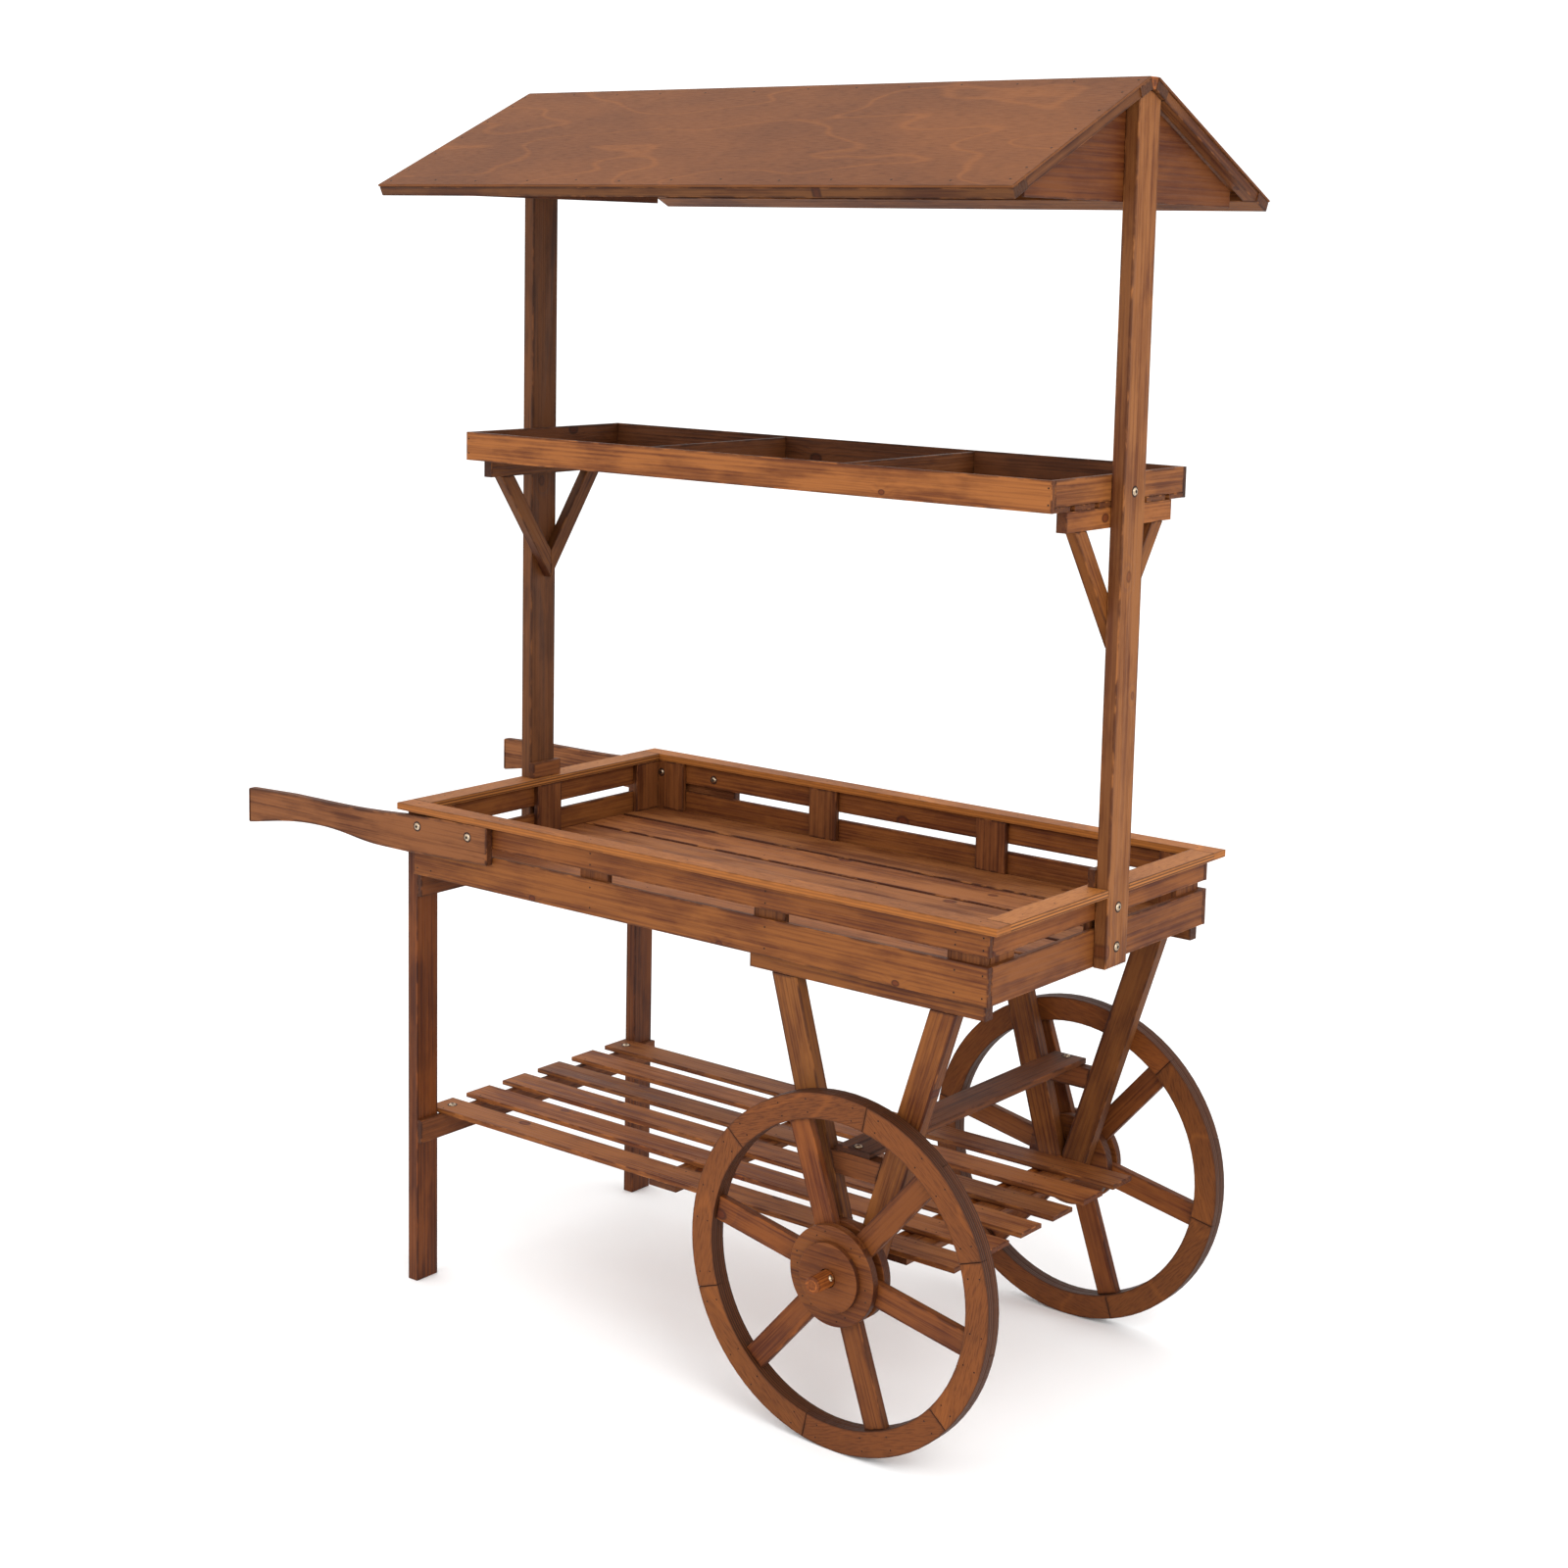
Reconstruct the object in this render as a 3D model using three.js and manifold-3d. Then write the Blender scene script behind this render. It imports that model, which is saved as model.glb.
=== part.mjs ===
// Push vending cart in brown-stained softwood and plywood: a tray on two legs and two spoked wheels,
// with a post at each end that carries a small upper shelf and a gabled roof.
// Millimetres. +X points from the handles to the wheels, +Y to the rear, +Z up, and z = 0 is the ground.
import * as THREE from "three";
import { mergeVertices } from "three/addons/utils/BufferGeometryUtils.js";
import Module from "manifold-3d";

const wasm = await Module();
wasm.setup();

// Driving dimensions, laid out about the middle of the tray rim
const ORIGIN_SHIFT_X = 180;
const FIT_GAP = 0.3;
const BOARD = 9;
const BATTEN = 10;
const BATTEN_WIDTH = 60;

const RIM_HALF_LENGTH = 600;
const RIM_HALF_WIDTH = 328;
const RIM_TOP = 843;
const RIM_PLY = 12;
const RIM_SIDE_WIDTH = 36;
const RIM_END_WIDTH = 43;

const POST_THICK = 22;
const POST_WIDTH = 60;
const WALL_HALF_LENGTH = RIM_HALF_LENGTH - POST_THICK - FIT_GAP;
const WALL_HALF_WIDTH = 312;
const WALL_BOTTOM = 721;
const LOWER_PLANK_TOP = 779;
const UPPER_PLANK_BOTTOM = 793;
const WALL_TOP = RIM_TOP - RIM_PLY - FIT_GAP;
const MID_BATTEN_X = 177.5;
const CORNER_BATTEN_WIDTH = 67;

const FLOOR_TOP = 742;
const FLOOR_SLATS = 6;
const FLOOR_GAP = 3;
const FLOOR_BEARERS_X = [-545, -175, 100, 350, 545];
const BEARER_WIDTH = 40;

const LEG_THICK = 22;
const LEG_WIDTH = 48;
const LEG_RAIL_HEIGHT = 40;

const HANDLE_TIP_X = -978;
const HANDLE_ROOT_X = -392;
const HANDLE_THICK = 15.7;
const HANDLE_TIP_RADIUS = 6;

const SHELF_HALF_LENGTH = WALL_HALF_LENGTH;
const SHELF_HALF_WIDTH = 190;
const SHELF_BOTTOM = 1411;
const SHELF_HEIGHT = 47;
const SHELF_SLAT = 8;
const SHELF_SLAT_PITCH = 67;
const SHELF_SLAT_GAP = 13;
const DIVIDER_X = 192;
const SHELF_BEARER_HALF = 148;
const SHELF_BEARER_HEIGHT = 31;
const SHELF_BEARER_THICK = 18;
const BRACE_FOOT_Z = 1198;
const BRACE_TOP_OUT = 124;
const BRACE_TOP_IN = 92;
const BRACE_CROTCH_Z = 1245;

const ROOF_HALF_LENGTH = 606;
const ROOF_RIDGE_Z = 2025;
const ROOF_RIDGE_HALF = 13;
const ROOF_SLOPE_LENGTH = 385;
const ROOF_ANGLE = THREE.MathUtils.degToRad(25.2);
const ROOF_SHEET = 4;
const ROOF_BATTEN = 16;
const EAVE_BATTEN_WIDTH = 36;
const RIDGE_BATTEN_WIDTH = 32;
const RAFTER_THICK = 22;
const GABLE_PLY = 4;
const GABLE_BOTTOM = 1848;
const GABLE_HALF_WIDTH = 287;
const PEAK_FLAT_HALF = 6;

const LOW_SLAT = 8;
const LOW_SLAT_WIDTH = 57;
const LOW_SLAT_PITCH = 90.2;
const LOW_SHELF_TOP = 297;
const LOW_SHELF_END_X = 497;
const LOW_BEARER = 12;
const LOW_BEARERS_X = [[-100, -43], [361, 409]];

const AXLE_X = 344;
const AXLE_RADIUS = 13;
const AXLE_HALF_LENGTH = 397;
const WHEEL_RADIUS = 274;
const WHEEL_INNER_RADIUS = 234;
const WHEEL_INSIDE_Y = 316;
const WHEEL_OUTSIDE_Y = 344;
const WHEEL_BORE_RADIUS = 14.5;
const SPOKE_WIDTH = 38;
const SPOKE_INSIDE_Y = 323;
const SPOKE_OUTSIDE_Y = 337;
const SPOKE_COUNT = 6;
const SPOKE_START_ANGLE = THREE.MathUtils.degToRad(49);
const HUB_CORE_RADIUS = 38;
const HUB_DISC_RADIUS = 77;
const HUB_CAP_RADIUS = 53.5;
const HUB_INSIDE_Y = 306;
const HUB_DISC_OUTSIDE_Y = 351;
const HUB_CAP_OUTSIDE_Y = 360;

const UNDER_RAIL_BOTTOM = 697;
const UNDER_RAIL_START_X = 141;
const UNDER_RAIL_THICK = 20;
const STRUT_THICK = 22;
const STRUT_BOTTOM = 252;
const LEFT_STRUT_TOP = [184, 231];
const RIGHT_STRUT_TOP = [473, 520];
const LEFT_STRUT_LEAN = 0.28;
const RIGHT_STRUT_LEAN = -0.31;
const STRUT_JOINT_X = 347;
const TIE_BOTTOM = 412;
const TIE_TOP = 447;
const CROSS_BATTEN_X = [314, 374];
const CROSS_BATTEN_THICK = 10;

const POST_BLOCK_THICK = 12;
const POST_BLOCK_HALF_WIDTH = 34;
const POST_BLOCK_HEIGHT = 27;

// Finishes
const stainedPine = new THREE.MeshStandardMaterial({ color: 0x8a5a3a, roughness: 0.62, metalness: 0 });
const stainedPinePale = new THREE.MeshStandardMaterial({ color: 0x9c6b48, roughness: 0.64, metalness: 0 });
const stainedPineDark = new THREE.MeshStandardMaterial({ color: 0x6f452c, roughness: 0.66, metalness: 0 });
const plywood = new THREE.MeshStandardMaterial({ color: 0xb07e5a, roughness: 0.58, metalness: 0 });
const roofPlywood = new THREE.MeshStandardMaterial({ color: 0xb0785a, roughness: 0.6, metalness: 0 });
const wheelWood = new THREE.MeshStandardMaterial({ color: 0x8d5c3c, roughness: 0.6, metalness: 0 });

const assembly = new THREE.Group();
const cart = new THREE.Group();
cart.position.x = ORIGIN_SHIFT_X;
assembly.add(cart);

function place(name, geometry, material, parent = cart) {
  const mesh = new THREE.Mesh(geometry, material);
  mesh.name = name;
  parent.add(mesh);
  return mesh;
}

// A rectangular board between two corners.
function board(x0, x1, y0, y1, z0, z1) {
  const geometry = new THREE.BoxGeometry(x1 - x0, y1 - y0, z1 - z0);
  return geometry.translate((x0 + x1) / 2, (y0 + y1) / 2, (z0 + z1) / 2);
}

// An outline of [x, z] points given thickness from y0 to y1.
function upright(points, y0, y1) {
  const shape = new THREE.Shape(points.map(([x, z]) => new THREE.Vector2(x, z)));
  const geometry = new THREE.ExtrudeGeometry(shape, { depth: y1 - y0, bevelEnabled: false });
  return geometry.rotateX(Math.PI / 2).translate(0, y1, 0);
}

// An outline of [y, z] points given thickness from x0 to x1.
function crosswise(points, x0, x1) {
  const shape = new THREE.Shape(points.map(([y, z]) => new THREE.Vector2(y, z)));
  const geometry = new THREE.ExtrudeGeometry(shape, { depth: x1 - x0, bevelEnabled: false });
  const turn = new THREE.Matrix4().makeBasis(
    new THREE.Vector3(0, 1, 0),
    new THREE.Vector3(0, 0, 1),
    new THREE.Vector3(1, 0, 0),
  );
  return geometry.applyMatrix4(turn).translate(x0, 0, 0);
}

// An outline of [x, y] points given thickness from z0 to z1.
function flat(points, z0, z1) {
  const shape = new THREE.Shape(points.map(([x, y]) => new THREE.Vector2(x, y)));
  return new THREE.ExtrudeGeometry(shape, { depth: z1 - z0, bevelEnabled: false }).translate(0, 0, z0);
}

function toSolid(geometry) {
  const bare = geometry.index ? geometry.toNonIndexed() : geometry.clone();
  bare.deleteAttribute("normal");
  bare.deleteAttribute("uv");
  const merged = mergeVertices(bare, 1e-3);
  return new wasm.Manifold(
    new wasm.Mesh({
      numProp: 3,
      vertProperties: merged.attributes.position.array,
      triVerts: new Uint32Array(merged.index.array),
    }),
  );
}

function toGeometry(solid) {
  const mesh = solid.getMesh();
  const geometry = new THREE.BufferGeometry();
  geometry.setAttribute("position", new THREE.BufferAttribute(new Float32Array(mesh.vertProperties), 3));
  geometry.setIndex(new THREE.BufferAttribute(new Uint32Array(mesh.triVerts), 1));
  return geometry;
}

function joined(geometries) {
  return toGeometry(geometries.map(toSolid).reduce((whole, piece) => whole.add(piece)));
}

function cut(geometry, tool) {
  return toGeometry(toSolid(geometry).subtract(toSolid(tool)));
}

// Tray rim: plywood strips laid flat on the walls, the end ones notched round the posts
const rimBottom = RIM_TOP - RIM_PLY;
const rimInnerWidth = RIM_HALF_WIDTH - RIM_SIDE_WIDTH;
for (const [name, side] of [["front", -1], ["rear", 1]]) {
  const edges = [side * rimInnerWidth, side * RIM_HALF_WIDTH].sort((a, b) => a - b);
  place(
    `tray_rim_${name}`,
    board(-RIM_HALF_LENGTH, RIM_HALF_LENGTH, edges[0], edges[1], rimBottom, RIM_TOP),
    plywood,
  );
}
for (const [name, side] of [["left", -1], ["right", 1]]) {
  const inner = side * (RIM_HALF_LENGTH - RIM_END_WIDTH);
  const outer = side * RIM_HALF_LENGTH;
  const notch = side * WALL_HALF_LENGTH;
  const end = rimInnerWidth - FIT_GAP;
  const cheek = POST_WIDTH / 2 + FIT_GAP;
  const outline = [
    [inner, -end],
    [outer, -end],
    [outer, -cheek],
    [notch, -cheek],
    [notch, cheek],
    [outer, cheek],
    [outer, end],
    [inner, end],
  ];
  place(`tray_rim_${name}`, flat(outline, rimBottom, RIM_TOP), plywood);
}

// Tray walls: two planks with a gap between them, nailed to upright battens inside
const floorRest = FLOOR_TOP + FIT_GAP;
for (const [name, side] of [["front", -1], ["rear", 1]]) {
  const span = (a, b) => [side * a, side * b].sort((p, q) => p - q);
  const [p0, p1] = span(WALL_HALF_WIDTH - BOARD, WALL_HALF_WIDTH);
  const [b0, b1] = span(WALL_HALF_WIDTH - BOARD - BATTEN, WALL_HALF_WIDTH - BOARD);
  const half = WALL_HALF_LENGTH;
  const corner = half - BOARD - FIT_GAP;
  const battens = [
    [-corner, -corner + CORNER_BATTEN_WIDTH],
    [-MID_BATTEN_X - BATTEN_WIDTH / 2, -MID_BATTEN_X + BATTEN_WIDTH / 2],
    [MID_BATTEN_X - BATTEN_WIDTH / 2, MID_BATTEN_X + BATTEN_WIDTH / 2],
    [corner - CORNER_BATTEN_WIDTH, corner],
  ];
  place(
    `tray_wall_${name}`,
    joined([
      board(-half, half, p0, p1, WALL_BOTTOM, LOWER_PLANK_TOP),
      board(-half, half, p0, p1, UPPER_PLANK_BOTTOM, WALL_TOP),
      ...battens.map(([x0, x1]) => board(x0, x1, b0, b1, floorRest, WALL_TOP)),
    ]),
    stainedPine,
  );
}
for (const [name, side] of [["left", -1], ["right", 1]]) {
  const span = (a, b) => [side * a, side * b].sort((p, q) => p - q);
  const [p0, p1] = span(WALL_HALF_LENGTH - BOARD, WALL_HALF_LENGTH);
  const [b0, b1] = span(WALL_HALF_LENGTH - BOARD - BATTEN, WALL_HALF_LENGTH - BOARD);
  const half = WALL_HALF_WIDTH - BOARD - FIT_GAP;
  const corner = half - BATTEN;
  const battens = [
    [-corner, -corner + BATTEN_WIDTH],
    [-BATTEN_WIDTH / 2, BATTEN_WIDTH / 2],
    [corner - BATTEN_WIDTH, corner],
  ];
  place(
    `tray_wall_${name}`,
    joined([
      board(p0, p1, -half, half, WALL_BOTTOM, LOWER_PLANK_TOP),
      board(p0, p1, -half, half, UPPER_PLANK_BOTTOM, WALL_TOP),
      ...battens.map(([y0, y1]) => board(b0, b1, y0, y1, floorRest, WALL_TOP)),
    ]),
    stainedPineDark,
  );
}

// Tray floor: long slats on cross bearers, inside the walls
const floorHalfLength = WALL_HALF_LENGTH - BOARD - FIT_GAP;
const floorHalfWidth = WALL_HALF_WIDTH - BOARD - FIT_GAP;
const slatWidth = (2 * floorHalfWidth - (FLOOR_SLATS - 1) * FLOOR_GAP) / FLOOR_SLATS;
const floorPieces = [];
for (let i = 0; i < FLOOR_SLATS; i++) {
  const y0 = -floorHalfWidth + i * (slatWidth + FLOOR_GAP);
  floorPieces.push(
    board(-floorHalfLength, floorHalfLength, y0, y0 + slatWidth, FLOOR_TOP - BOARD, FLOOR_TOP),
  );
}
for (const x of FLOOR_BEARERS_X) {
  const half = x > 0 ? floorHalfWidth - UNDER_RAIL_THICK - FIT_GAP : floorHalfWidth;
  floorPieces.push(
    board(x - BEARER_WIDTH / 2, x + BEARER_WIDTH / 2, -half, half, WALL_BOTTOM, FLOOR_TOP - BOARD),
  );
}
place("tray_floor", joined(floorPieces), stainedPine);

// End posts with a pointed top, and the blocks that hold them to the rim
const roofFrameDepth = (ROOF_SHEET + ROOF_BATTEN) / Math.cos(ROOF_ANGLE) + FIT_GAP;
const roofUnderside = (y) =>
  ROOF_RIDGE_Z - Math.tan(ROOF_ANGLE) * (Math.abs(y) - ROOF_RIDGE_HALF) - roofFrameDepth;
for (const [name, side] of [["left", -1], ["right", 1]]) {
  const [x0, x1] = [side * (RIM_HALF_LENGTH - POST_THICK), side * RIM_HALF_LENGTH].sort((a, b) => a - b);
  const half = POST_WIDTH / 2;
  const outline = [
    [-half, WALL_BOTTOM],
    [half, WALL_BOTTOM],
    [half, roofUnderside(half)],
    [PEAK_FLAT_HALF, roofUnderside(PEAK_FLAT_HALF)],
    [-PEAK_FLAT_HALF, roofUnderside(PEAK_FLAT_HALF)],
    [-half, roofUnderside(half)],
  ];
  place(`post_${name}`, crosswise(outline, x0, x1), stainedPinePale);
  const inner = WALL_HALF_LENGTH;
  const [k0, k1] = [side * (inner - POST_BLOCK_THICK), side * inner].sort((a, b) => a - b);
  const rest = RIM_TOP + FIT_GAP;
  place(
    `post_block_${name}`,
    board(k0, k1, -POST_BLOCK_HALF_WIDTH, POST_BLOCK_HALF_WIDTH, rest, rest + POST_BLOCK_HEIGHT),
    stainedPineDark,
  );
}

// Handles: boards along the outside of the long walls, sloped on top and waisted at the grip
const handleTop = RIM_TOP - RIM_PLY - FIT_GAP;
const tipTop = handleTop - 18;
const tipBottom = handleTop - 80;
const gripBottom = handleTop - 58;
const handleShape = new THREE.Shape();
handleShape.moveTo(HANDLE_ROOT_X, handleTop - 63);
handleShape.lineTo(HANDLE_ROOT_X, handleTop);
handleShape.lineTo(-500, handleTop - 1);
handleShape.bezierCurveTo(-600, handleTop - 6, -650, handleTop - 14, -763, handleTop - 14);
handleShape.lineTo(-866, handleTop - 14);
handleShape.lineTo(HANDLE_TIP_X + HANDLE_TIP_RADIUS, tipTop);
handleShape.quadraticCurveTo(HANDLE_TIP_X, tipTop, HANDLE_TIP_X, tipTop - HANDLE_TIP_RADIUS);
handleShape.lineTo(HANDLE_TIP_X, tipBottom + HANDLE_TIP_RADIUS);
handleShape.quadraticCurveTo(HANDLE_TIP_X, tipBottom, HANDLE_TIP_X + HANDLE_TIP_RADIUS, tipBottom + 1);
handleShape.bezierCurveTo(-915, tipBottom + 10, -870, gripBottom, -790, gripBottom);
handleShape.bezierCurveTo(-725, gripBottom, -700, handleTop - 69, -640, handleTop - 69);
handleShape.lineTo(-575, handleTop - 69);
handleShape.lineTo(HANDLE_ROOT_X, handleTop - 63);
for (const [name, side] of [["front", -1], ["rear", 1]]) {
  const y = WALL_HALF_WIDTH + FIT_GAP;
  const far = side > 0 ? y + HANDLE_THICK : -y;
  const options = { depth: HANDLE_THICK, bevelEnabled: false, curveSegments: 10 };
  const geometry = new THREE.ExtrudeGeometry(handleShape, options);
  place(`handle_${name}`, geometry.rotateX(Math.PI / 2).translate(0, far, 0), stainedPine);
}

// Legs at the handle end and the two rails across them
const legOutside = WALL_HALF_WIDTH - BOARD;
const legInside = legOutside - LEG_WIDTH;
const legFace = WALL_HALF_LENGTH + FIT_GAP;
for (const [name, side] of [["front", -1], ["rear", 1]]) {
  const [y0, y1] = [side * legInside, side * legOutside].sort((a, b) => a - b);
  place(`leg_${name}`, board(-legFace - LEG_THICK, -legFace, y0, y1, 0, WALL_TOP), stainedPinePale);
}
const railX0 = -WALL_HALF_LENGTH;
const lowShelfBottom = LOW_SHELF_TOP - LOW_SLAT;
const upperRailTop = WALL_BOTTOM - FIT_GAP;
const lowerRailTop = lowShelfBottom - FIT_GAP;
for (const [name, top] of [["upper", upperRailTop], ["lower", lowerRailTop]]) {
  place(
    `leg_rail_${name}`,
    board(railX0, railX0 + BATTEN, -legOutside, legOutside, top - LEG_RAIL_HEIGHT, top),
    stainedPineDark,
  );
}

// Lower shelf: six slats from the legs to past the axle, on cross bearers
const lowPieces = [];
const lowSlats = 6;
const lowBearerHalf = ((lowSlats - 1) * LOW_SLAT_PITCH + LOW_SLAT_WIDTH) / 2 - 4;
for (let i = 0; i < lowSlats; i++) {
  const y = (i - (lowSlats - 1) / 2) * LOW_SLAT_PITCH;
  lowPieces.push(
    board(
      -legFace - LEG_THICK,
      LOW_SHELF_END_X,
      y - LOW_SLAT_WIDTH / 2,
      y + LOW_SLAT_WIDTH / 2,
      lowShelfBottom,
      LOW_SHELF_TOP,
    ),
  );
}
for (const [x0, x1] of LOW_BEARERS_X) {
  lowPieces.push(board(x0, x1, -lowBearerHalf, lowBearerHalf, lowShelfBottom - LOW_BEARER, lowShelfBottom));
}
place("lower_shelf", joined(lowPieces), stainedPine);

// Wheel supports: an under-rail on each side, a V of two struts down to the axle, and a tie between them
const strutOutside = WALL_HALF_WIDTH - BOARD - FIT_GAP;
const strutTop = UNDER_RAIL_BOTTOM - FIT_GAP;
const drop = (x, lean, z) => x + lean * (strutTop - z);
const dropTo = (x, lean, target) => strutTop - (target - x) / lean;
const leftJoint = STRUT_JOINT_X - FIT_GAP;
const rightJoint = STRUT_JOINT_X + FIT_GAP;
const leftStrut = [
  [LEFT_STRUT_TOP[0], strutTop],
  [drop(LEFT_STRUT_TOP[0], LEFT_STRUT_LEAN, STRUT_BOTTOM), STRUT_BOTTOM],
  [leftJoint, STRUT_BOTTOM],
  [leftJoint, dropTo(LEFT_STRUT_TOP[1], LEFT_STRUT_LEAN, leftJoint)],
  [LEFT_STRUT_TOP[1], strutTop],
];
const rightStrut = [
  [RIGHT_STRUT_TOP[0], strutTop],
  [rightJoint, dropTo(RIGHT_STRUT_TOP[0], RIGHT_STRUT_LEAN, rightJoint)],
  [rightJoint, STRUT_BOTTOM],
  [drop(RIGHT_STRUT_TOP[1], RIGHT_STRUT_LEAN, STRUT_BOTTOM), STRUT_BOTTOM],
  [RIGHT_STRUT_TOP[1], strutTop],
];
const tie = [
  [drop(LEFT_STRUT_TOP[1], LEFT_STRUT_LEAN, TIE_TOP) + FIT_GAP, TIE_TOP],
  [drop(LEFT_STRUT_TOP[1], LEFT_STRUT_LEAN, TIE_BOTTOM) + FIT_GAP, TIE_BOTTOM],
  [drop(RIGHT_STRUT_TOP[0], RIGHT_STRUT_LEAN, TIE_BOTTOM) - FIT_GAP, TIE_BOTTOM],
  [drop(RIGHT_STRUT_TOP[0], RIGHT_STRUT_LEAN, TIE_TOP) - FIT_GAP, TIE_TOP],
];
const axleHole = new THREE.CylinderGeometry(AXLE_RADIUS + FIT_GAP, AXLE_RADIUS + FIT_GAP, 1000, 32);
axleHole.translate(AXLE_X, 0, WHEEL_RADIUS);
for (const [name, side] of [["front", -1], ["rear", 1]]) {
  const span = (a, b) => [side * a, side * b].sort((p, q) => p - q);
  const [s0, s1] = span(strutOutside - STRUT_THICK, strutOutside);
  const [r0, r1] = span(strutOutside - UNDER_RAIL_THICK, strutOutside);
  const railEnd = floorHalfLength;
  const railTop = FLOOR_TOP - BOARD - FIT_GAP;
  place(
    `under_rail_${name}`,
    board(UNDER_RAIL_START_X, railEnd, r0, r1, UNDER_RAIL_BOTTOM, railTop),
    stainedPine,
  );
  place(`strut_left_${name}`, cut(upright(leftStrut, s0, s1), axleHole), stainedPine);
  place(`strut_right_${name}`, cut(upright(rightStrut, s0, s1), axleHole), stainedPine);
  place(`strut_tie_${name}`, upright(tie, s0, s1), stainedPineDark);
}
const crossRest = TIE_TOP + FIT_GAP;
place(
  "cross_batten",
  board(
    CROSS_BATTEN_X[0],
    CROSS_BATTEN_X[1],
    -strutOutside,
    strutOutside,
    crossRest,
    crossRest + CROSS_BATTEN_THICK,
  ),
  stainedPinePale,
);

// Axle: a wooden dowel right across, held by the struts
const axle = new THREE.CylinderGeometry(AXLE_RADIUS, AXLE_RADIUS, 2 * AXLE_HALF_LENGTH, 32);
place("axle", axle.translate(AXLE_X, 0, WHEEL_RADIUS), stainedPinePale);

// Wheels: a rim of felloes, six flat spokes joined inside the hub, and a hub of stacked discs
for (const [name, side] of [["front", -1], ["rear", 1]]) {
  const wheel = new THREE.Group();
  wheel.position.set(AXLE_X, 0, WHEEL_RADIUS);
  cart.add(wheel);

  const ring = (outer, inner, near, far) => {
    const shape = new THREE.Shape().absarc(0, 0, outer, 0, 2 * Math.PI, false);
    shape.holes.push(new THREE.Path().absarc(0, 0, inner, 0, 2 * Math.PI, true));
    const geometry = new THREE.ExtrudeGeometry(shape, {
      depth: far - near,
      bevelEnabled: false,
      curveSegments: 72,
    });
    return geometry.rotateX(Math.PI / 2).translate(0, side > 0 ? far : -near, 0);
  };
  place(
    `wheel_rim_${name}`,
    ring(WHEEL_RADIUS, WHEEL_INNER_RADIUS, WHEEL_INSIDE_Y, WHEEL_OUTSIDE_Y),
    wheelWood,
    wheel,
  );

  const spokeThick = SPOKE_OUTSIDE_Y - SPOKE_INSIDE_Y - 2 * FIT_GAP;
  const spokeY = (side * (SPOKE_OUTSIDE_Y + SPOKE_INSIDE_Y)) / 2;
  const collarInner = HUB_CORE_RADIUS + FIT_GAP;
  const collarOuter = collarInner + 20;
  const spokeEnd = WHEEL_INNER_RADIUS - 1;
  const spokes = [ring(collarOuter, collarInner, SPOKE_INSIDE_Y + FIT_GAP, SPOKE_OUTSIDE_Y - FIT_GAP)];
  for (let i = 0; i < SPOKE_COUNT; i++) {
    const start = collarInner + 8;
    const spoke = new THREE.BoxGeometry(spokeEnd - start, spokeThick, SPOKE_WIDTH);
    spoke.translate((spokeEnd + start) / 2, spokeY, 0);
    spoke.rotateY(-(SPOKE_START_ANGLE + (i * 2 * Math.PI) / SPOKE_COUNT));
    spokes.push(spoke);
  }
  place(`wheel_spokes_${name}`, joined(spokes), wheelWood, wheel);

  const profile = [
    [WHEEL_BORE_RADIUS, HUB_INSIDE_Y],
    [HUB_DISC_RADIUS, HUB_INSIDE_Y],
    [HUB_DISC_RADIUS, SPOKE_INSIDE_Y],
    [HUB_CORE_RADIUS, SPOKE_INSIDE_Y],
    [HUB_CORE_RADIUS, SPOKE_OUTSIDE_Y],
    [HUB_DISC_RADIUS, SPOKE_OUTSIDE_Y],
    [HUB_DISC_RADIUS, HUB_DISC_OUTSIDE_Y],
    [HUB_CAP_RADIUS, HUB_DISC_OUTSIDE_Y],
    [HUB_CAP_RADIUS, HUB_CAP_OUTSIDE_Y],
    [WHEEL_BORE_RADIUS, HUB_CAP_OUTSIDE_Y],
    [WHEEL_BORE_RADIUS, HUB_INSIDE_Y],
  ].map(([r, y]) => new THREE.Vector2(r, y));
  const hub = new THREE.LatheGeometry(profile, 48);
  if (side < 0) hub.rotateX(Math.PI);
  place(`wheel_hub_${name}`, hub, wheelWood, wheel);
}

// Upper shelf between the posts: sides that cap the ends, two dividers, and slats on end bearers
const shelfTop = SHELF_BOTTOM + SHELF_HEIGHT;
const shelfInside = SHELF_HALF_WIDTH - BOARD - FIT_GAP;
const slatTop = SHELF_BOTTOM + SHELF_SLAT;
for (const [name, side] of [["front", -1], ["rear", 1]]) {
  const [y0, y1] = [side * (SHELF_HALF_WIDTH - BOARD), side * SHELF_HALF_WIDTH].sort((a, b) => a - b);
  place(
    `shelf_side_${name}`,
    board(-SHELF_HALF_LENGTH, SHELF_HALF_LENGTH, y0, y1, SHELF_BOTTOM, shelfTop),
    stainedPine,
  );
}
const crossBoards = [
  ["shelf_end_left", -SHELF_HALF_LENGTH, shelfTop],
  ["shelf_end_right", SHELF_HALF_LENGTH - BOARD, shelfTop],
  ["shelf_divider_left", -DIVIDER_X - BOARD / 2, shelfTop - 2],
  ["shelf_divider_right", DIVIDER_X - BOARD / 2, shelfTop - 2],
];
for (const [name, x, top] of crossBoards) {
  place(name, board(x, x + BOARD, -shelfInside, shelfInside, slatTop + FIT_GAP, top), stainedPineDark);
}
const shelfFloor = [];
for (let i = -3; i < 3; i++) {
  const y0 = Math.max(i * SHELF_SLAT_PITCH + SHELF_SLAT_GAP / 2, -shelfInside);
  const y1 = Math.min((i + 1) * SHELF_SLAT_PITCH - SHELF_SLAT_GAP / 2, shelfInside);
  shelfFloor.push(board(-SHELF_HALF_LENGTH, SHELF_HALF_LENGTH, y0, y1, SHELF_BOTTOM, slatTop));
}
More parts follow.
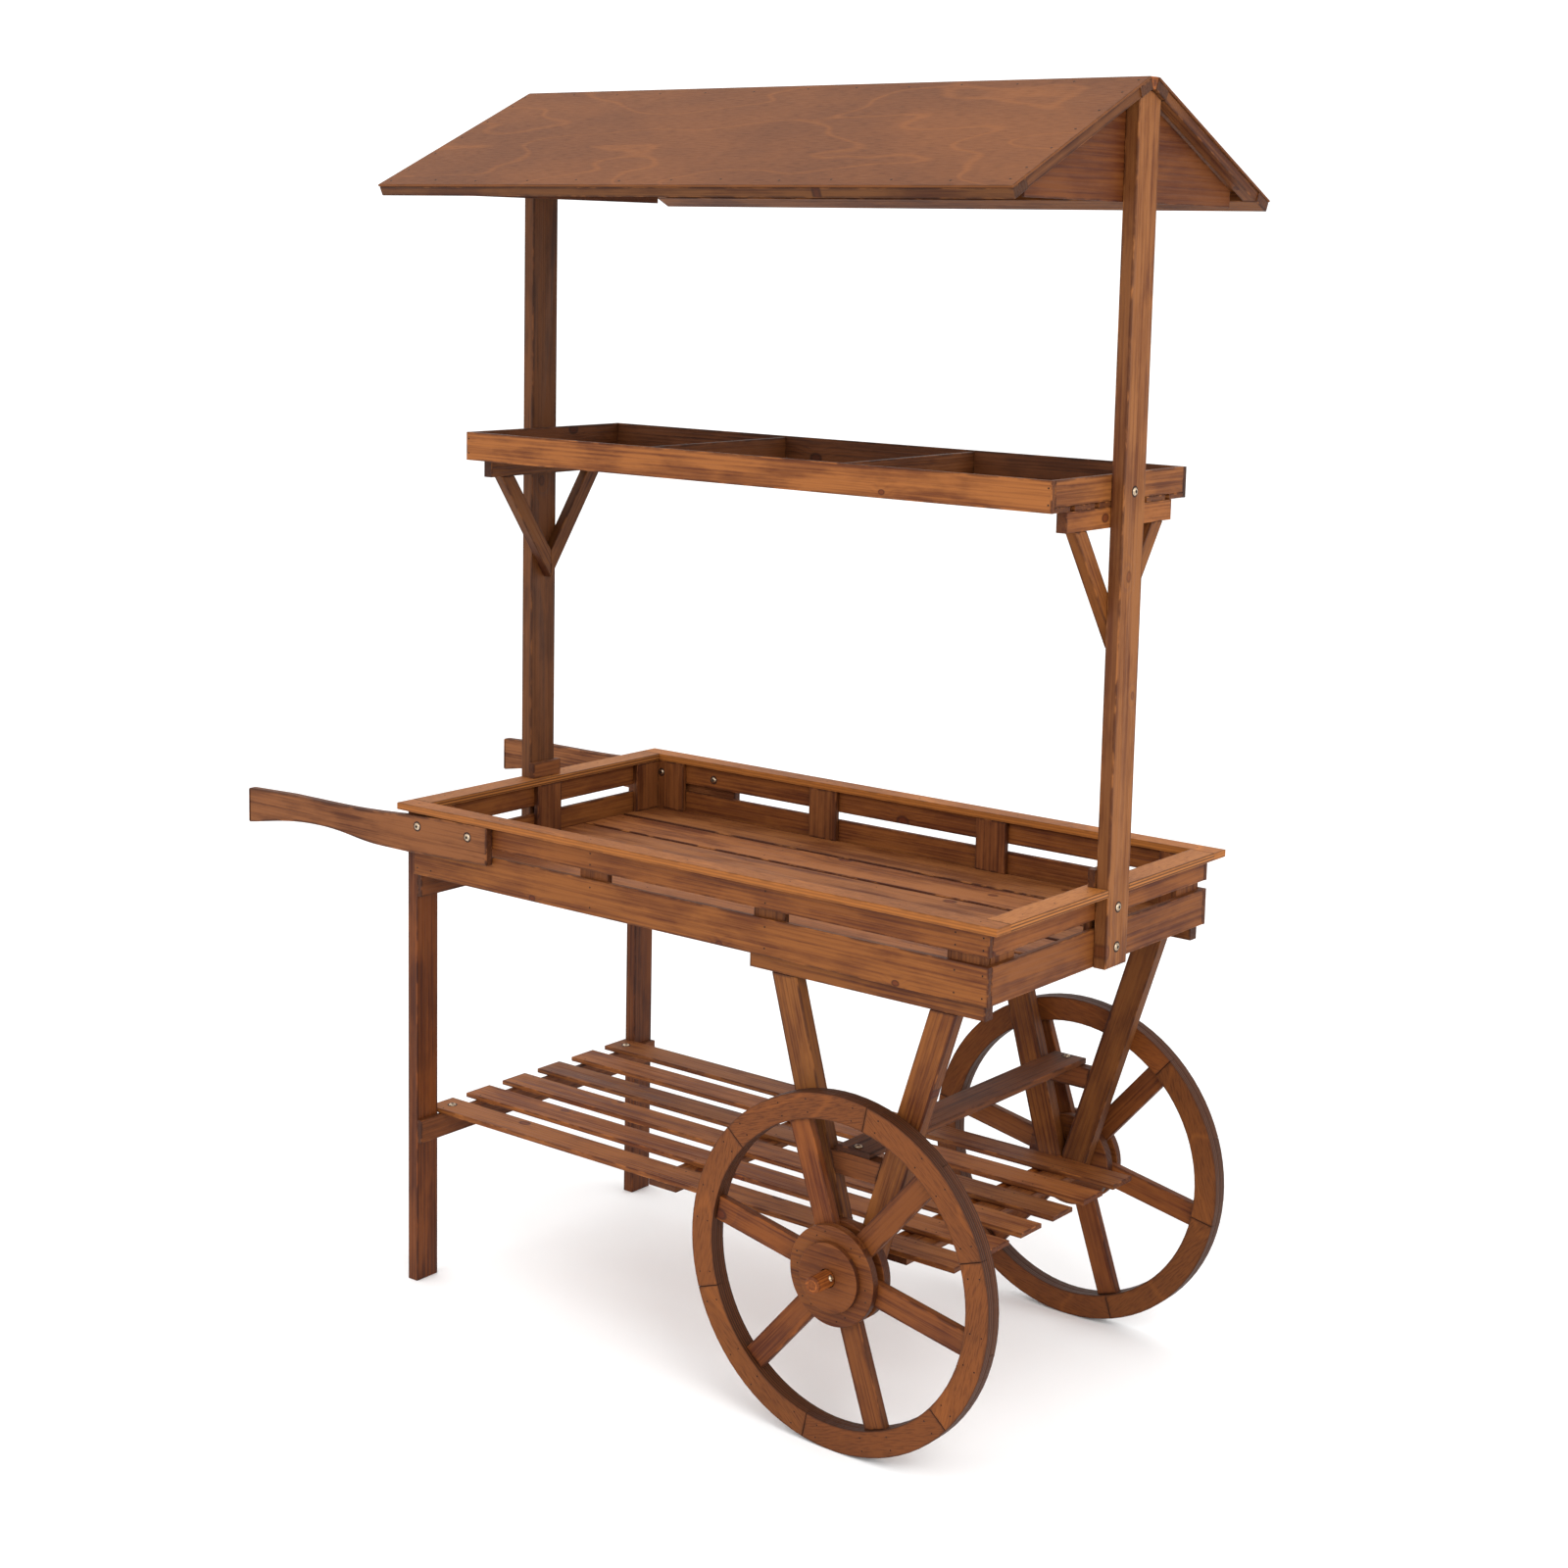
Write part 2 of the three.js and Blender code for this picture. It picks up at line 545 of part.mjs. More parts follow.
for (const x0 of [-SHELF_HALF_LENGTH, SHELF_HALF_LENGTH - SHELF_BEARER_THICK]) {
  shelfFloor.push(
    board(
      x0,
      x0 + SHELF_BEARER_THICK,
      -SHELF_BEARER_HALF,
      SHELF_BEARER_HALF,
      SHELF_BOTTOM - SHELF_BEARER_HEIGHT,
      SHELF_BOTTOM,
    ),
  );
}
place("shelf_floor", joined(shelfFloor), stainedPine);

// Braces: a V against the inner face of each post, up to the ends of the bearers
const braceTop = SHELF_BOTTOM - SHELF_BEARER_HEIGHT - FIT_GAP;
for (const [endName, x0] of [
  ["left", -SHELF_HALF_LENGTH],
  ["right", SHELF_HALF_LENGTH - SHELF_BEARER_THICK],
]) {
  for (const [sideName, side] of [["front", -1], ["rear", 1]]) {
    const outline = [
      [side * FIT_GAP, BRACE_FOOT_Z],
      [side * FIT_GAP, BRACE_CROTCH_Z],
      [side * BRACE_TOP_IN, braceTop],
      [side * BRACE_TOP_OUT, braceTop],
    ];
    place(`shelf_brace_${endName}_${sideName}`, crosswise(outline, x0, x0 + SHELF_BEARER_THICK), stainedPine);
  }
}

// Roof: each slope is a plywood sheet on a frame of ridge batten, eave batten and two end rafters
const battenTop = -ROOF_SHEET - FIT_GAP;
const battenBottom = -ROOF_SHEET - ROOF_BATTEN;
for (const [name, side] of [["front", -1], ["rear", 1]]) {
  const slope = new THREE.Group();
  slope.position.set(0, side * ROOF_RIDGE_HALF, ROOF_RIDGE_Z);
  slope.rotation.x = -side * ROOF_ANGLE;
  cart.add(slope);
  const strip = (x0, x1, s0, s1, n0, n1) => {
    const [y0, y1] = [side * s0, side * s1].sort((a, b) => a - b);
    return board(x0, x1, y0, y1, n0, n1);
  };
  const half = ROOF_HALF_LENGTH;
  const eaveStart = ROOF_SLOPE_LENGTH - EAVE_BATTEN_WIDTH;
  place(
    `roof_sheet_${name}`,
    strip(-half - 1, half + 1, 0, ROOF_SLOPE_LENGTH, -ROOF_SHEET, 0),
    roofPlywood,
    slope,
  );
  place(
    `ridge_batten_${name}`,
    strip(-half, half, 0, RIDGE_BATTEN_WIDTH, battenBottom, battenTop),
    stainedPineDark,
    slope,
  );
  place(
    `eave_batten_${name}`,
    strip(-half, half, eaveStart, ROOF_SLOPE_LENGTH - 1, battenBottom, battenTop),
    stainedPine,
    slope,
  );
  for (const [endName, end] of [["left", -1], ["right", 1]]) {
    const [x0, x1] = [end * (half - 2), end * (half - 2 - RAFTER_THICK)].sort((a, b) => a - b);
    const s0 = RIDGE_BATTEN_WIDTH + FIT_GAP;
    const s1 = eaveStart - FIT_GAP;
    const geometry = strip(x0, x1, s0, s1, battenBottom, battenTop);
    place(`rafter_${endName}_${name}`, geometry, stainedPinePale, slope);
  }
}
const ridgeDepth = (ROOF_SHEET + ROOF_BATTEN) * Math.cos(ROOF_ANGLE);
const ridgeFoot = ROOF_RIDGE_HALF - (ROOF_SHEET + ROOF_BATTEN) * Math.sin(ROOF_ANGLE);
const ridgeOutline = [
  [-ridgeFoot + 2 * FIT_GAP, ROOF_RIDGE_Z - ridgeDepth],
  [ridgeFoot - 2 * FIT_GAP, ROOF_RIDGE_Z - ridgeDepth],
  [ROOF_RIDGE_HALF - 2 * FIT_GAP, ROOF_RIDGE_Z],
  [-ROOF_RIDGE_HALF + 2 * FIT_GAP, ROOF_RIDGE_Z],
];
place("ridge_beam", crosswise(ridgeOutline, -ROOF_HALF_LENGTH, ROOF_HALF_LENGTH), stainedPinePale);

for (const [name, side] of [["left", -1], ["right", 1]]) {
  const outside = WALL_HALF_LENGTH;
  const [x0, x1] = [side * (outside - GABLE_PLY), side * outside].sort((a, b) => a - b);
  const corner = roofUnderside(GABLE_HALF_WIDTH);
  const peak = roofUnderside(PEAK_FLAT_HALF);
  const outline = [
    [-GABLE_HALF_WIDTH, GABLE_BOTTOM],
    [GABLE_HALF_WIDTH, GABLE_BOTTOM],
    [GABLE_HALF_WIDTH, corner],
    [PEAK_FLAT_HALF, peak],
    [-PEAK_FLAT_HALF, peak],
    [-GABLE_HALF_WIDTH, corner],
  ];
  place(`gable_panel_${name}`, crosswise(outline, x0, x1), roofPlywood);
}

export default assembly;
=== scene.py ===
import math

import bpy
import numpy as np
from mathutils import Matrix, Vector


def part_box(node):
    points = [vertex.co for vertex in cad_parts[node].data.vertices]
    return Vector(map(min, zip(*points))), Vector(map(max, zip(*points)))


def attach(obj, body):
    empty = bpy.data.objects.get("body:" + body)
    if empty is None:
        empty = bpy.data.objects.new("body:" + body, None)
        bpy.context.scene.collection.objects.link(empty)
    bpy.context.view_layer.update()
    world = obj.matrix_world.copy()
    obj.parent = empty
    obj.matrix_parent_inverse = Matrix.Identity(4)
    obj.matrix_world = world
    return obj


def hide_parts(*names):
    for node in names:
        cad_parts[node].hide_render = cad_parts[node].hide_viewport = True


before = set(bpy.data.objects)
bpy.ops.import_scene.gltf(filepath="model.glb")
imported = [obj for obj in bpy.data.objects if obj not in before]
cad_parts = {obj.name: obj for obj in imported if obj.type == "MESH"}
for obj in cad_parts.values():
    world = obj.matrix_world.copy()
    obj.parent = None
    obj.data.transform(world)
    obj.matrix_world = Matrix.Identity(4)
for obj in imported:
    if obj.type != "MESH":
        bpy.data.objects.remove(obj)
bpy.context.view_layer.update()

# Camera and light: the camera stands in front of the wheel end at eye height and looks slightly down.
# Two large soft lamps in front and a white sky all round, over a plain pale floor.
MM = 0.001
CAMERA_PLACE = (2.6811, -3.2569, 1.7725)
CAMERA_YAW, CAMERA_PITCH, CAMERA_ROLL = -37.991, 8.366, 1.181
CAMERA_FOCAL = 59.11
CAMERA_SHIFT = -0.1
LAMPS = (("key_lamp", (4.1, -2.3, 3.3), 2.4, 105), ("fill_lamp", (-0.6, -4.6, 2.9), 2.8, 50))
LIT_POINT = Vector((0.1, 0, 1.0))
SKY_STRENGTH = 1.28


def aimed(yaw, pitch, roll):
    """A turn that looks along yaw from +Y, pitch below level, then rolled about the line of sight."""
    yaw, pitch, roll = (math.radians(a) for a in (yaw, pitch, roll))
    ahead = Vector((math.sin(yaw) * math.cos(pitch), math.cos(yaw) * math.cos(pitch), -math.sin(pitch)))
    right = ahead.cross(Vector((0, 0, 1))).normalized()
    up = right.cross(ahead)
    right, up = (
        right * math.cos(roll) + up * math.sin(roll),
        up * math.cos(roll) - right * math.sin(roll),
    )
    return Matrix((right, up, -ahead)).transposed().to_4x4()


lens = bpy.data.cameras.new("camera")
lens.sensor_width = 36
lens.lens = CAMERA_FOCAL
lens.shift_y = CAMERA_SHIFT
camera = bpy.data.objects.new("camera", lens)
camera.matrix_world = Matrix.Translation(CAMERA_PLACE) @ aimed(CAMERA_YAW, CAMERA_PITCH, CAMERA_ROLL)
bpy.context.scene.collection.objects.link(camera)
bpy.context.scene.camera = camera
bpy.context.scene.view_settings.view_transform = "Standard"

for name, place, size, power in LAMPS:
    lamp = bpy.data.lights.new(name, "AREA")
    lamp.size = size
    lamp.energy = power
    holder = bpy.data.objects.new(name, lamp)
    aim = LIT_POINT - Vector(place)
    holder.matrix_world = Matrix.Translation(place) @ aim.to_track_quat("-Z", "Y").to_matrix().to_4x4()
    bpy.context.scene.collection.objects.link(holder)

sky = bpy.data.worlds.new("sky")
sky.use_nodes = True
sky.node_tree.nodes["Background"].inputs["Color"].default_value = (1, 1, 1, 1)
sky.node_tree.nodes["Background"].inputs["Strength"].default_value = SKY_STRENGTH
bpy.context.scene.world = sky

# Floor: a wide plain pale sheet just under the wheels and legs.
FLOOR_REACH = 60.0
FLOOR_DROP = 0.0005
floor_mesh = bpy.data.meshes.new("studio_floor")
floor_corners = np.array([(-1, -1), (1, -1), (1, 1), (-1, 1)]) * FLOOR_REACH
floor_mesh.from_pydata([(x, y, -FLOOR_DROP) for x, y in floor_corners], [], [(0, 1, 2, 3)])
studio_floor = bpy.data.objects.new("studio_floor", floor_mesh)
bpy.context.scene.collection.objects.link(studio_floor)
pale = bpy.data.materials.new("pale_floor")
pale.use_nodes = True
pale.node_tree.nodes["Principled BSDF"].inputs["Base Color"].default_value = (0.98, 0.98, 0.98, 1)
pale.node_tree.nodes["Principled BSDF"].inputs["Roughness"].default_value = 0.9
floor_mesh.materials.append(pale)

# Timber in general: every board is sawn softwood with its arrises eased, or plywood with its layers
# showing, and carries its own grain. Each solid is a flat outline given thickness, in millimetres,
# and boards that touch are kept a small gap apart.
ARRIS = 1.1
WORN_BAND = 3.2
GAP = 0.3
LOG_REACH = np.array([4000, 70, 60])
VENEER_SPREAD = 20
END_GRAIN = 0.75
chance = np.random.default_rng(7)


def toned(tone, count):
    """One colour multiplier for a whole board: its depth of stain, on a few boards painted shade, and how
    ruddy or sallow it is.
    """
    sallow = chance.uniform(-0.04, 0.03)
    return np.tile(tone * np.array([1, 1 + sallow, 1 + 1.7 * sallow]), (count, 1))


def slab(outline, low, high, axes, grain=0.0, ease=ARRIS, ply=False, tone=None, origin=(0, 0, 0)):
    """A flat piece: its outline repeated in rings through its thickness.
    Near each face ring k is set in by e(1 - sin a) and lies e(1 - cos a) under the face, as a runs
    over a quarter turn, so that the arris is a quarter round. A vertex's grain place is how far it
    lies along, across and through the board, plus the board's own shift in the log."""
    points = np.asarray(outline, float)
    after = np.roll(points, -1, 0)
    if np.sum(points[:, 0] * after[:, 1] - after[:, 0] * points[:, 1]) < 0:
        points = points[::-1]
    spread = np.roll(points, -1, 0) - points
    spread /= np.linalg.norm(spread, axis=1, keepdims=True)
    out = np.stack([spread[:, 1], -spread[:, 0]], 1)
    before = np.roll(out, 1, 0)
    mitre = (out + before) / (1 + np.sum(out * before, 1, keepdims=True)).clip(0.3)
    ease = min(ease, 0.3 * (high - low))
    band = min(WORN_BAND, 0.45 * (high - low) - ease)
    turn = np.linspace(0, math.pi / 2, 4)
    inset = np.concatenate([[ease + WORN_BAND], ease * (1 - np.sin(turn)), [0]])
    depth = np.concatenate([[0], ease * (1 - np.cos(turn)), [ease + band]])
    # The band at each arris: rubbed stain there doubles as painted highlight, and grime gathers beside it.
    wear_and_highlight = np.array([0, 1, 1, 1, 1, 0.0])
    inset, wear_and_highlight = np.r_[inset, inset[::-1]], np.r_[wear_and_highlight, wear_and_highlight[::-1]]
    level = np.r_[low + depth, high - depth[::-1]]
    rings, count = len(level), len(points)
    flat = points[None] - inset[:, None, None] * mitre[None]
    local = np.concatenate([flat, np.broadcast_to(level[:, None, None], (rings, count, 1))], 2)
    local = local.reshape(-1, 3)
    basis = np.array([np.eye(3)["xyz".index(a)] for a in axes] if isinstance(axes, str) else axes, float)
    place = local @ basis + np.asarray(origin, float)
    if grain is None:
        lie = local[:, [2, 0, 1]]
    else:
        c, s = math.cos(grain), math.sin(grain)
        u, v, w = local.T
        lie = np.stack([u * c + v * s, v * c - u * s, w], 1)
    shift = chance.uniform(-LOG_REACH, LOG_REACH)
    if ply:
        shift = np.array([shift[0], shift[1] * VENEER_SPREAD, -low])
    i = np.arange(count)
    j = np.roll(i, -1)
    k = np.arange(rings - 1)[:, None] * count
    walls = np.stack([k + i, k + j, k + j + count, k + i + count], 2).reshape(-1, 4)
    caps = [i[::-1].tolist(), (i + (rings - 1) * count).tolist()]
    side = np.r_[np.ones((rings - 1) * count), 0, 0]
    side[:count] = 0
    side[(rings - 2) * count : (rings - 1) * count] = 0
    if grain is None:
        end = np.r_[np.zeros((rings - 1) * count), 1, 1]
    else:
        cross = np.abs(out @ np.array([c, s])) > END_GRAIN
        end = np.r_[np.tile(cross, rings - 1) * side[:-2], 0, 0]
    faces = walls.tolist() + caps
    if np.linalg.det(basis) < 0:
        faces = [f[::-1] for f in faces]
    tone = chance.uniform(0.82, 1.16) if tone is None else tone * chance.uniform(0.95, 1.05)
    return {
        "place": place,
        "faces": faces,
        "grain": (lie + shift) * MM,
        "wear_and_highlight": np.repeat(wear_and_highlight, count),
        "tone": toned(tone, len(place)),
        "side": side,
        "end": end,
    }


def carried(mesh, material, body):
    """An object for a mesh, at the origin, that rides on a body."""
    mesh.materials.append(material)
    thing = bpy.data.objects.new(mesh.name, mesh)
    bpy.context.scene.collection.objects.link(thing)
    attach(thing, body)
    return thing


def made(name, solids, material, replaces=(), body="frame"):
    """One object from several solids, with their grain, arris band of wear and painted highlight, tone and
    end grain as attributes.
    """
    faces, start = [], 0
    for solid in solids:
        faces += [[v + start for v in f] for f in solid["faces"]]
        start += len(solid["place"])
    mesh = bpy.data.meshes.new(name)
    mesh.from_pydata(np.concatenate([s["place"] for s in solids]) * MM, [], faces)
    for key, kind, domain, field in (
        ("grain", "FLOAT_VECTOR", "POINT", "vector"),
        ("wear_and_highlight", "FLOAT", "POINT", "value"),
        ("tone", "FLOAT_VECTOR", "POINT", "vector"),
        ("side", "FLOAT", "FACE", "value"),
        ("end", "FLOAT", "FACE", "value"),
    ):
        values = np.concatenate([s[key] for s in solids]).astype(np.float32)
        mesh.attributes.new(key, kind, domain).data.foreach_set(field, values.ravel())
    thing = carried(mesh, material, body)
    if replaces:
        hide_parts(*replaces)


def add(tree, kind, inputs=(), **settings):
    """A shader node with its settings made and its inputs joined or filled."""
    node = tree.nodes.new(kind)
    for key, value in settings.items():
        setattr(node, key, value)
    for key, value in dict(inputs).items():
        if isinstance(value, bpy.types.NodeSocket):
            tree.links.new(value, node.inputs[key])
        else:
            node.inputs[key].default_value = value
    return node


def maths(tree, operation, *terms):
    """The result of one sum on numbers or sockets."""
    return add(tree, "ShaderNodeMath", enumerate(terms), operation=operation).outputs[0]


def stretched(tree, vector, along, across, through):
    """The grain place with each of its directions scaled, to draw a pattern out along the board."""
    inputs = {0: vector, 1: (along, across, through)}
    return add(tree, "ShaderNodeVectorMath", inputs, operation="MULTIPLY").outputs[0]


def noise(tree, vector, detail=2.0, rough=0.5):
    inputs = {"Vector": vector, "Scale": 1.0, "Detail": detail, "Roughness": rough}
    return add(tree, "ShaderNodeTexNoise", inputs).outputs[0]


def ramp(tree, value, low, high, to_low=0.0, to_high=1.0):
    """A smooth step of a value between two levels."""
    inputs = {"Value": value, "From Min": low, "From Max": high, "To Min": to_low, "To Max": to_high}
    return add(tree, "ShaderNodeMapRange", inputs, interpolation_type="SMOOTHSTEP").outputs[0]


def blend(tree, amount, first, second, mode="MIX"):
    """One colour laid over another by an amount."""
    inputs = {0: amount, 6: first, 7: second}
    node = add(tree, "ShaderNodeMix", inputs, data_type="RGBA", blend_type=mode, clamp_factor=True)
    return node.outputs[2]


def dye(red, green, blue):
    """A colour given as screen values from 0 to 255, made linear by the usual power of 2.2."""
    return tuple((c / 255) ** 2.2 for c in (red, green, blue)) + (1.0,)


def group_with(name, inputs, outputs):
    """An empty node group with named number and vector sockets."""
    group = bpy.data.node_groups.new(name, "ShaderNodeTree")
    kinds = {"vector": "NodeSocketVector", "number": "NodeSocketFloat"}
    for key, kind in inputs.items():
        group.interface.new_socket(key, in_out="INPUT", socket_type=kinds[kind])
    for key, kind in outputs.items():
        group.interface.new_socket(key, in_out="OUTPUT", socket_type=kinds[kind])
    return group, group.nodes.new("NodeGroupInput"), group.nodes.new("NodeGroupOutput")


# Softwood figure: growth rings round a pith line that runs along the board, bent by slow waves and
# by knots; fine fibres, dark streaks and thin lines drawn out along the grain; and the stain's own
# blotches. Knots stand on about half of a scatter of sites, each with its own girth and dark edge.
softwood, given, result = group_with(
    "softwood_figure",
    {"Grain": "vector", "Ring Width": "number"},
    {
        "Rings": "number",
        "Fibre": "number",
        "Streaks": "number",
        "Blotch": "number",
        "Knot": "number",
        "Knot Edge": "number",
    },
)
g = softwood
grain_in = given.outputs["Grain"]
KNOTS_ALONG, KNOTS_ACROSS, KNOT_STRETCH = 3.1, 13.0, 0.7
sites = stretched(g, grain_in, KNOTS_ALONG, KNOTS_ACROSS, 0.0)
cell = add(g, "ShaderNodeTexVoronoi", {"Vector": sites, "Scale": 1.0}, voronoi_dimensions="2D")
apart = add(g, "ShaderNodeVectorMath", {0: sites, 1: cell.outputs["Position"]}, operation="SUBTRACT")
apart = stretched(g, apart.outputs[0], KNOT_STRETCH / KNOTS_ALONG, 1 / KNOTS_ACROSS, 0.0)
apart = add(g, "ShaderNodeVectorMath", {0: apart}, operation="LENGTH").outputs["Value"]
lot = add(g, "ShaderNodeSeparateColor", {0: cell.outputs["Color"]})
chosen = maths(g, "GREATER_THAN", lot.outputs[0], 0.55)
girth = maths(g, "MULTIPLY_ADD", lot.outputs[1], 0.005, 0.0035)
closeness = maths(g, "DIVIDE", apart, girth)
knot = maths(g, "MULTIPLY", ramp(g, closeness, 1.15, 0.8), chosen)
knot_edge = maths(g, "MULTIPLY", ramp(g, closeness, 1.4, 1.05), ramp(g, closeness, 0.6, 0.95))
knot_edge = maths(g, "MULTIPLY", knot_edge, chosen)
halo = maths(g, "MULTIPLY", ramp(g, closeness, 5.0, 0.6), chosen)
slow = noise(g, stretched(g, grain_in, 1.3, 9.0, 9.0), 1.5)
bend = maths(g, "MULTIPLY_ADD", slow, 0.022, maths(g, "MULTIPLY", halo, 0.009))
parts = add(g, "ShaderNodeSeparateXYZ", {0: grain_in})
pith = maths(g, "MULTIPLY_ADD", parts.outputs[0], 0.004, parts.outputs[1])
radius = maths(g, "SQRT", maths(g, "MULTIPLY_ADD", pith, pith, maths(g, "POWER", parts.outputs[2], 2.0)))
turns = maths(g, "FRACT", maths(g, "DIVIDE", maths(g, "ADD", radius, bend), given.outputs["Ring Width"]))
late = maths(g, "MULTIPLY", ramp(g, turns, 0.25, 0.86), ramp(g, turns, 1.0, 0.9))
strength = ramp(g, noise(g, stretched(g, grain_in, 1.1, 7.0, 7.0), 2.0), 0.36, 0.62, 0.15, 1.0)
late = maths(g, "MULTIPLY", late, strength)
fibre = noise(g, stretched(g, grain_in, 5.0, 300.0, 300.0), 3.0, 0.65)
streak = noise(g, stretched(g, grain_in, 2.2, 85.0, 85.0), 3.0, 0.6)
line = noise(g, stretched(g, grain_in, 1.4, 190.0, 190.0), 2.0, 0.5)
streak = maths(g, "MULTIPLY_ADD", ramp(g, line, 0.6, 0.72), 0.9, ramp(g, streak, 0.47, 0.66))
blotch = noise(g, stretched(g, grain_in, 6.5, 20.0, 20.0), 4.0, 0.62)
for key, value in (
    ("Rings", late),
    ("Fibre", fibre),
    ("Streaks", streak),
    ("Blotch", blotch),
    ("Knot", knot),
    ("Knot Edge", knot_edge),
):
    g.links.new(value, result.inputs[key])

# Plywood figure: a rotary-cut face veneer, whose rings come out as broad wandering contours, over
# thin layers that show as light and dark lines wherever the sheet is cut.
veneer, given, result = group_with(
    "veneer_figure",
    {"Grain": "vector", "Layer": "number"},
    {"Contours": "number", "Flecks": "number", "Clouds": "number", "Layers": "number"},
)
g = veneer
grain_in = given.outputs["Grain"]
hills = noise(g, stretched(g, grain_in, 1.5, 4.2, 0.0), 2.2, 0.45)
contour = ramp(g, maths(g, "PINGPONG", maths(g, "MULTIPLY", hills, 18.0), 1.0), 0.86, 1.0)
flecks = noise(g, stretched(g, grain_in, 45.0, 420.0, 0.0), 2.0, 0.6)
clouds = noise(g, stretched(g, grain_in, 2.2, 3.6, 0.0), 4.0, 0.6)
parts = add(g, "ShaderNodeSeparateXYZ", {0: grain_in})
sheets = maths(g, "PINGPONG", maths(g, "DIVIDE", parts.outputs[2], given.outputs["Layer"]), 1.0)
for key, value in (
    ("Contours", contour),
    ("Flecks", flecks),
    ("Clouds", clouds),
    ("Layers", ramp(g, sheets, 0.35, 0.65)),
):
    g.links.new(value, result.inputs[key])

# Handling: stain wears thin along the arrises in broken touches, which also serve as painted highlights on
# the arrises, and gathers dark beside them.
handling, given, result = group_with(
    "handling", {"Grain": "vector", "Wear And Highlight": "number"}, {"Rubbed Highlight": "number", "Grime": "number"}
)
g = handling
patches = noise(g, stretched(g, given.outputs["Grain"], 22.0, 60.0, 60.0), 3.0, 0.6)
rubbed_highlight = maths(g, "MULTIPLY", ramp(g, given.outputs["Wear And Highlight"], 0.75, 1.0), ramp(g, patches, 0.5, 0.64))
dirt = maths(g, "MULTIPLY", ramp(g, given.outputs["Wear And Highlight"], 0.0, 0.8), ramp(g, patches, 0.62, 0.4))
g.links.new(rubbed_highlight, result.inputs["Rubbed Highlight"])
g.links.new(dirt, result.inputs["Grime"])


def attribute(tree, name, output="Fac"):
    return add(tree, "ShaderNodeAttribute", attribute_name=name).outputs[output]


def placed(tree, group, inputs):
    """A node group put into a material."""
    return add(tree, "ShaderNodeGroup", inputs, node_tree=group).outputs


def finished(tree, colour, rough, height, depth):
    """Colour, roughness and a shallow relief joined to the material's own shader."""
    shader = tree.nodes["Principled BSDF"]
    bump = add(tree, "ShaderNodeBump", {"Strength": 0.6, "Distance": depth, "Height": height})
    tree.links.new(colour, shader.inputs["Base Color"])
    tree.links.new(rough, shader.inputs["Roughness"])
    tree.links.new(bump.outputs[0], shader.inputs["Normal"])
    shader.inputs["Specular IOR Level"].default_value = 0.22


def stained_softwood(name, light, dark, rings, ring_width, knots=1.0, edge=0.25, rough=0.6):
    """Softwood under a brown wood stain: the colour runs from light to dark with the rings, fibres,
    streaks and blotches, then takes its knots, darker sawn edges (on the floor planks also painted
    shade in the gaps), dark end grain, wear with painted highlights on the arrises, and tone."""
    material = bpy.data.materials.new(name)
    material.use_nodes = True
    tree = material.node_tree
    grain = attribute(tree, "grain", "Vector")
    figure = placed(tree, softwood, {"Grain": grain, "Ring Width": ring_width})
    handled_and_highlit = placed(tree, handling, {"Grain": grain, "Wear And Highlight": attribute(tree, "wear_and_highlight")})
    depth = maths(tree, "MULTIPLY_ADD", figure["Rings"], 0.7 * rings, -0.34)
    depth = maths(tree, "MULTIPLY_ADD", ramp(tree, figure["Fibre"], 0.36, 0.66), 0.44, depth)
    depth = maths(tree, "MULTIPLY_ADD", figure["Streaks"], 0.4, depth)
    depth = maths(tree, "MULTIPLY_ADD", ramp(tree, figure["Blotch"], 0.36, 0.66), 0.68, depth)
    colour = blend(tree, depth, light, dark)
    ruddy = tuple(a * b for a, b in zip(dark, (0.42, 0.34, 0.3, 1)))
    heart = tuple(a * b for a, b in zip(dark, (1.1, 0.88, 0.75, 1)))
    colour = blend(tree, maths(tree, "MULTIPLY", figure["Knot"], 0.85 * knots), colour, heart)
    colour = blend(tree, maths(tree, "MULTIPLY", figure["Knot Edge"], 0.7 * knots), colour, ruddy)
    colour = blend(tree, maths(tree, "MULTIPLY", attribute(tree, "side"), edge), colour, ruddy)
    colour = blend(tree, maths(tree, "MULTIPLY", attribute(tree, "end"), 0.62), colour, ruddy)
    colour = blend(tree, maths(tree, "MULTIPLY", handled_and_highlit["Grime"], 0.6), colour, ruddy)
    # Pale broken touches along the arrises: partly rubbed stain, partly painted highlight.
    rubbed_highlight_colour = tuple(min(1, c * 1.35) for c in light)
    colour = blend(tree, maths(tree, "MULTIPLY", handled_and_highlit["Rubbed Highlight"], 0.6), colour, rubbed_highlight_colour)
    colour = blend(tree, 1.0, colour, attribute(tree, "tone", "Vector"), "MULTIPLY")
    gloss = maths(tree, "MULTIPLY_ADD", figure["Rings"], -0.1, rough)
    gloss = maths(tree, "MULTIPLY_ADD", figure["Fibre"], 0.12, gloss)
    height = maths(tree, "MULTIPLY_ADD", figure["Rings"], 0.5, figure["Fibre"])
    height = maths(tree, "SUBTRACT", height, maths(tree, "MULTIPLY", figure["Streaks"], 0.6))
    finished(tree, colour, gloss, height, 0.0005)
    return material


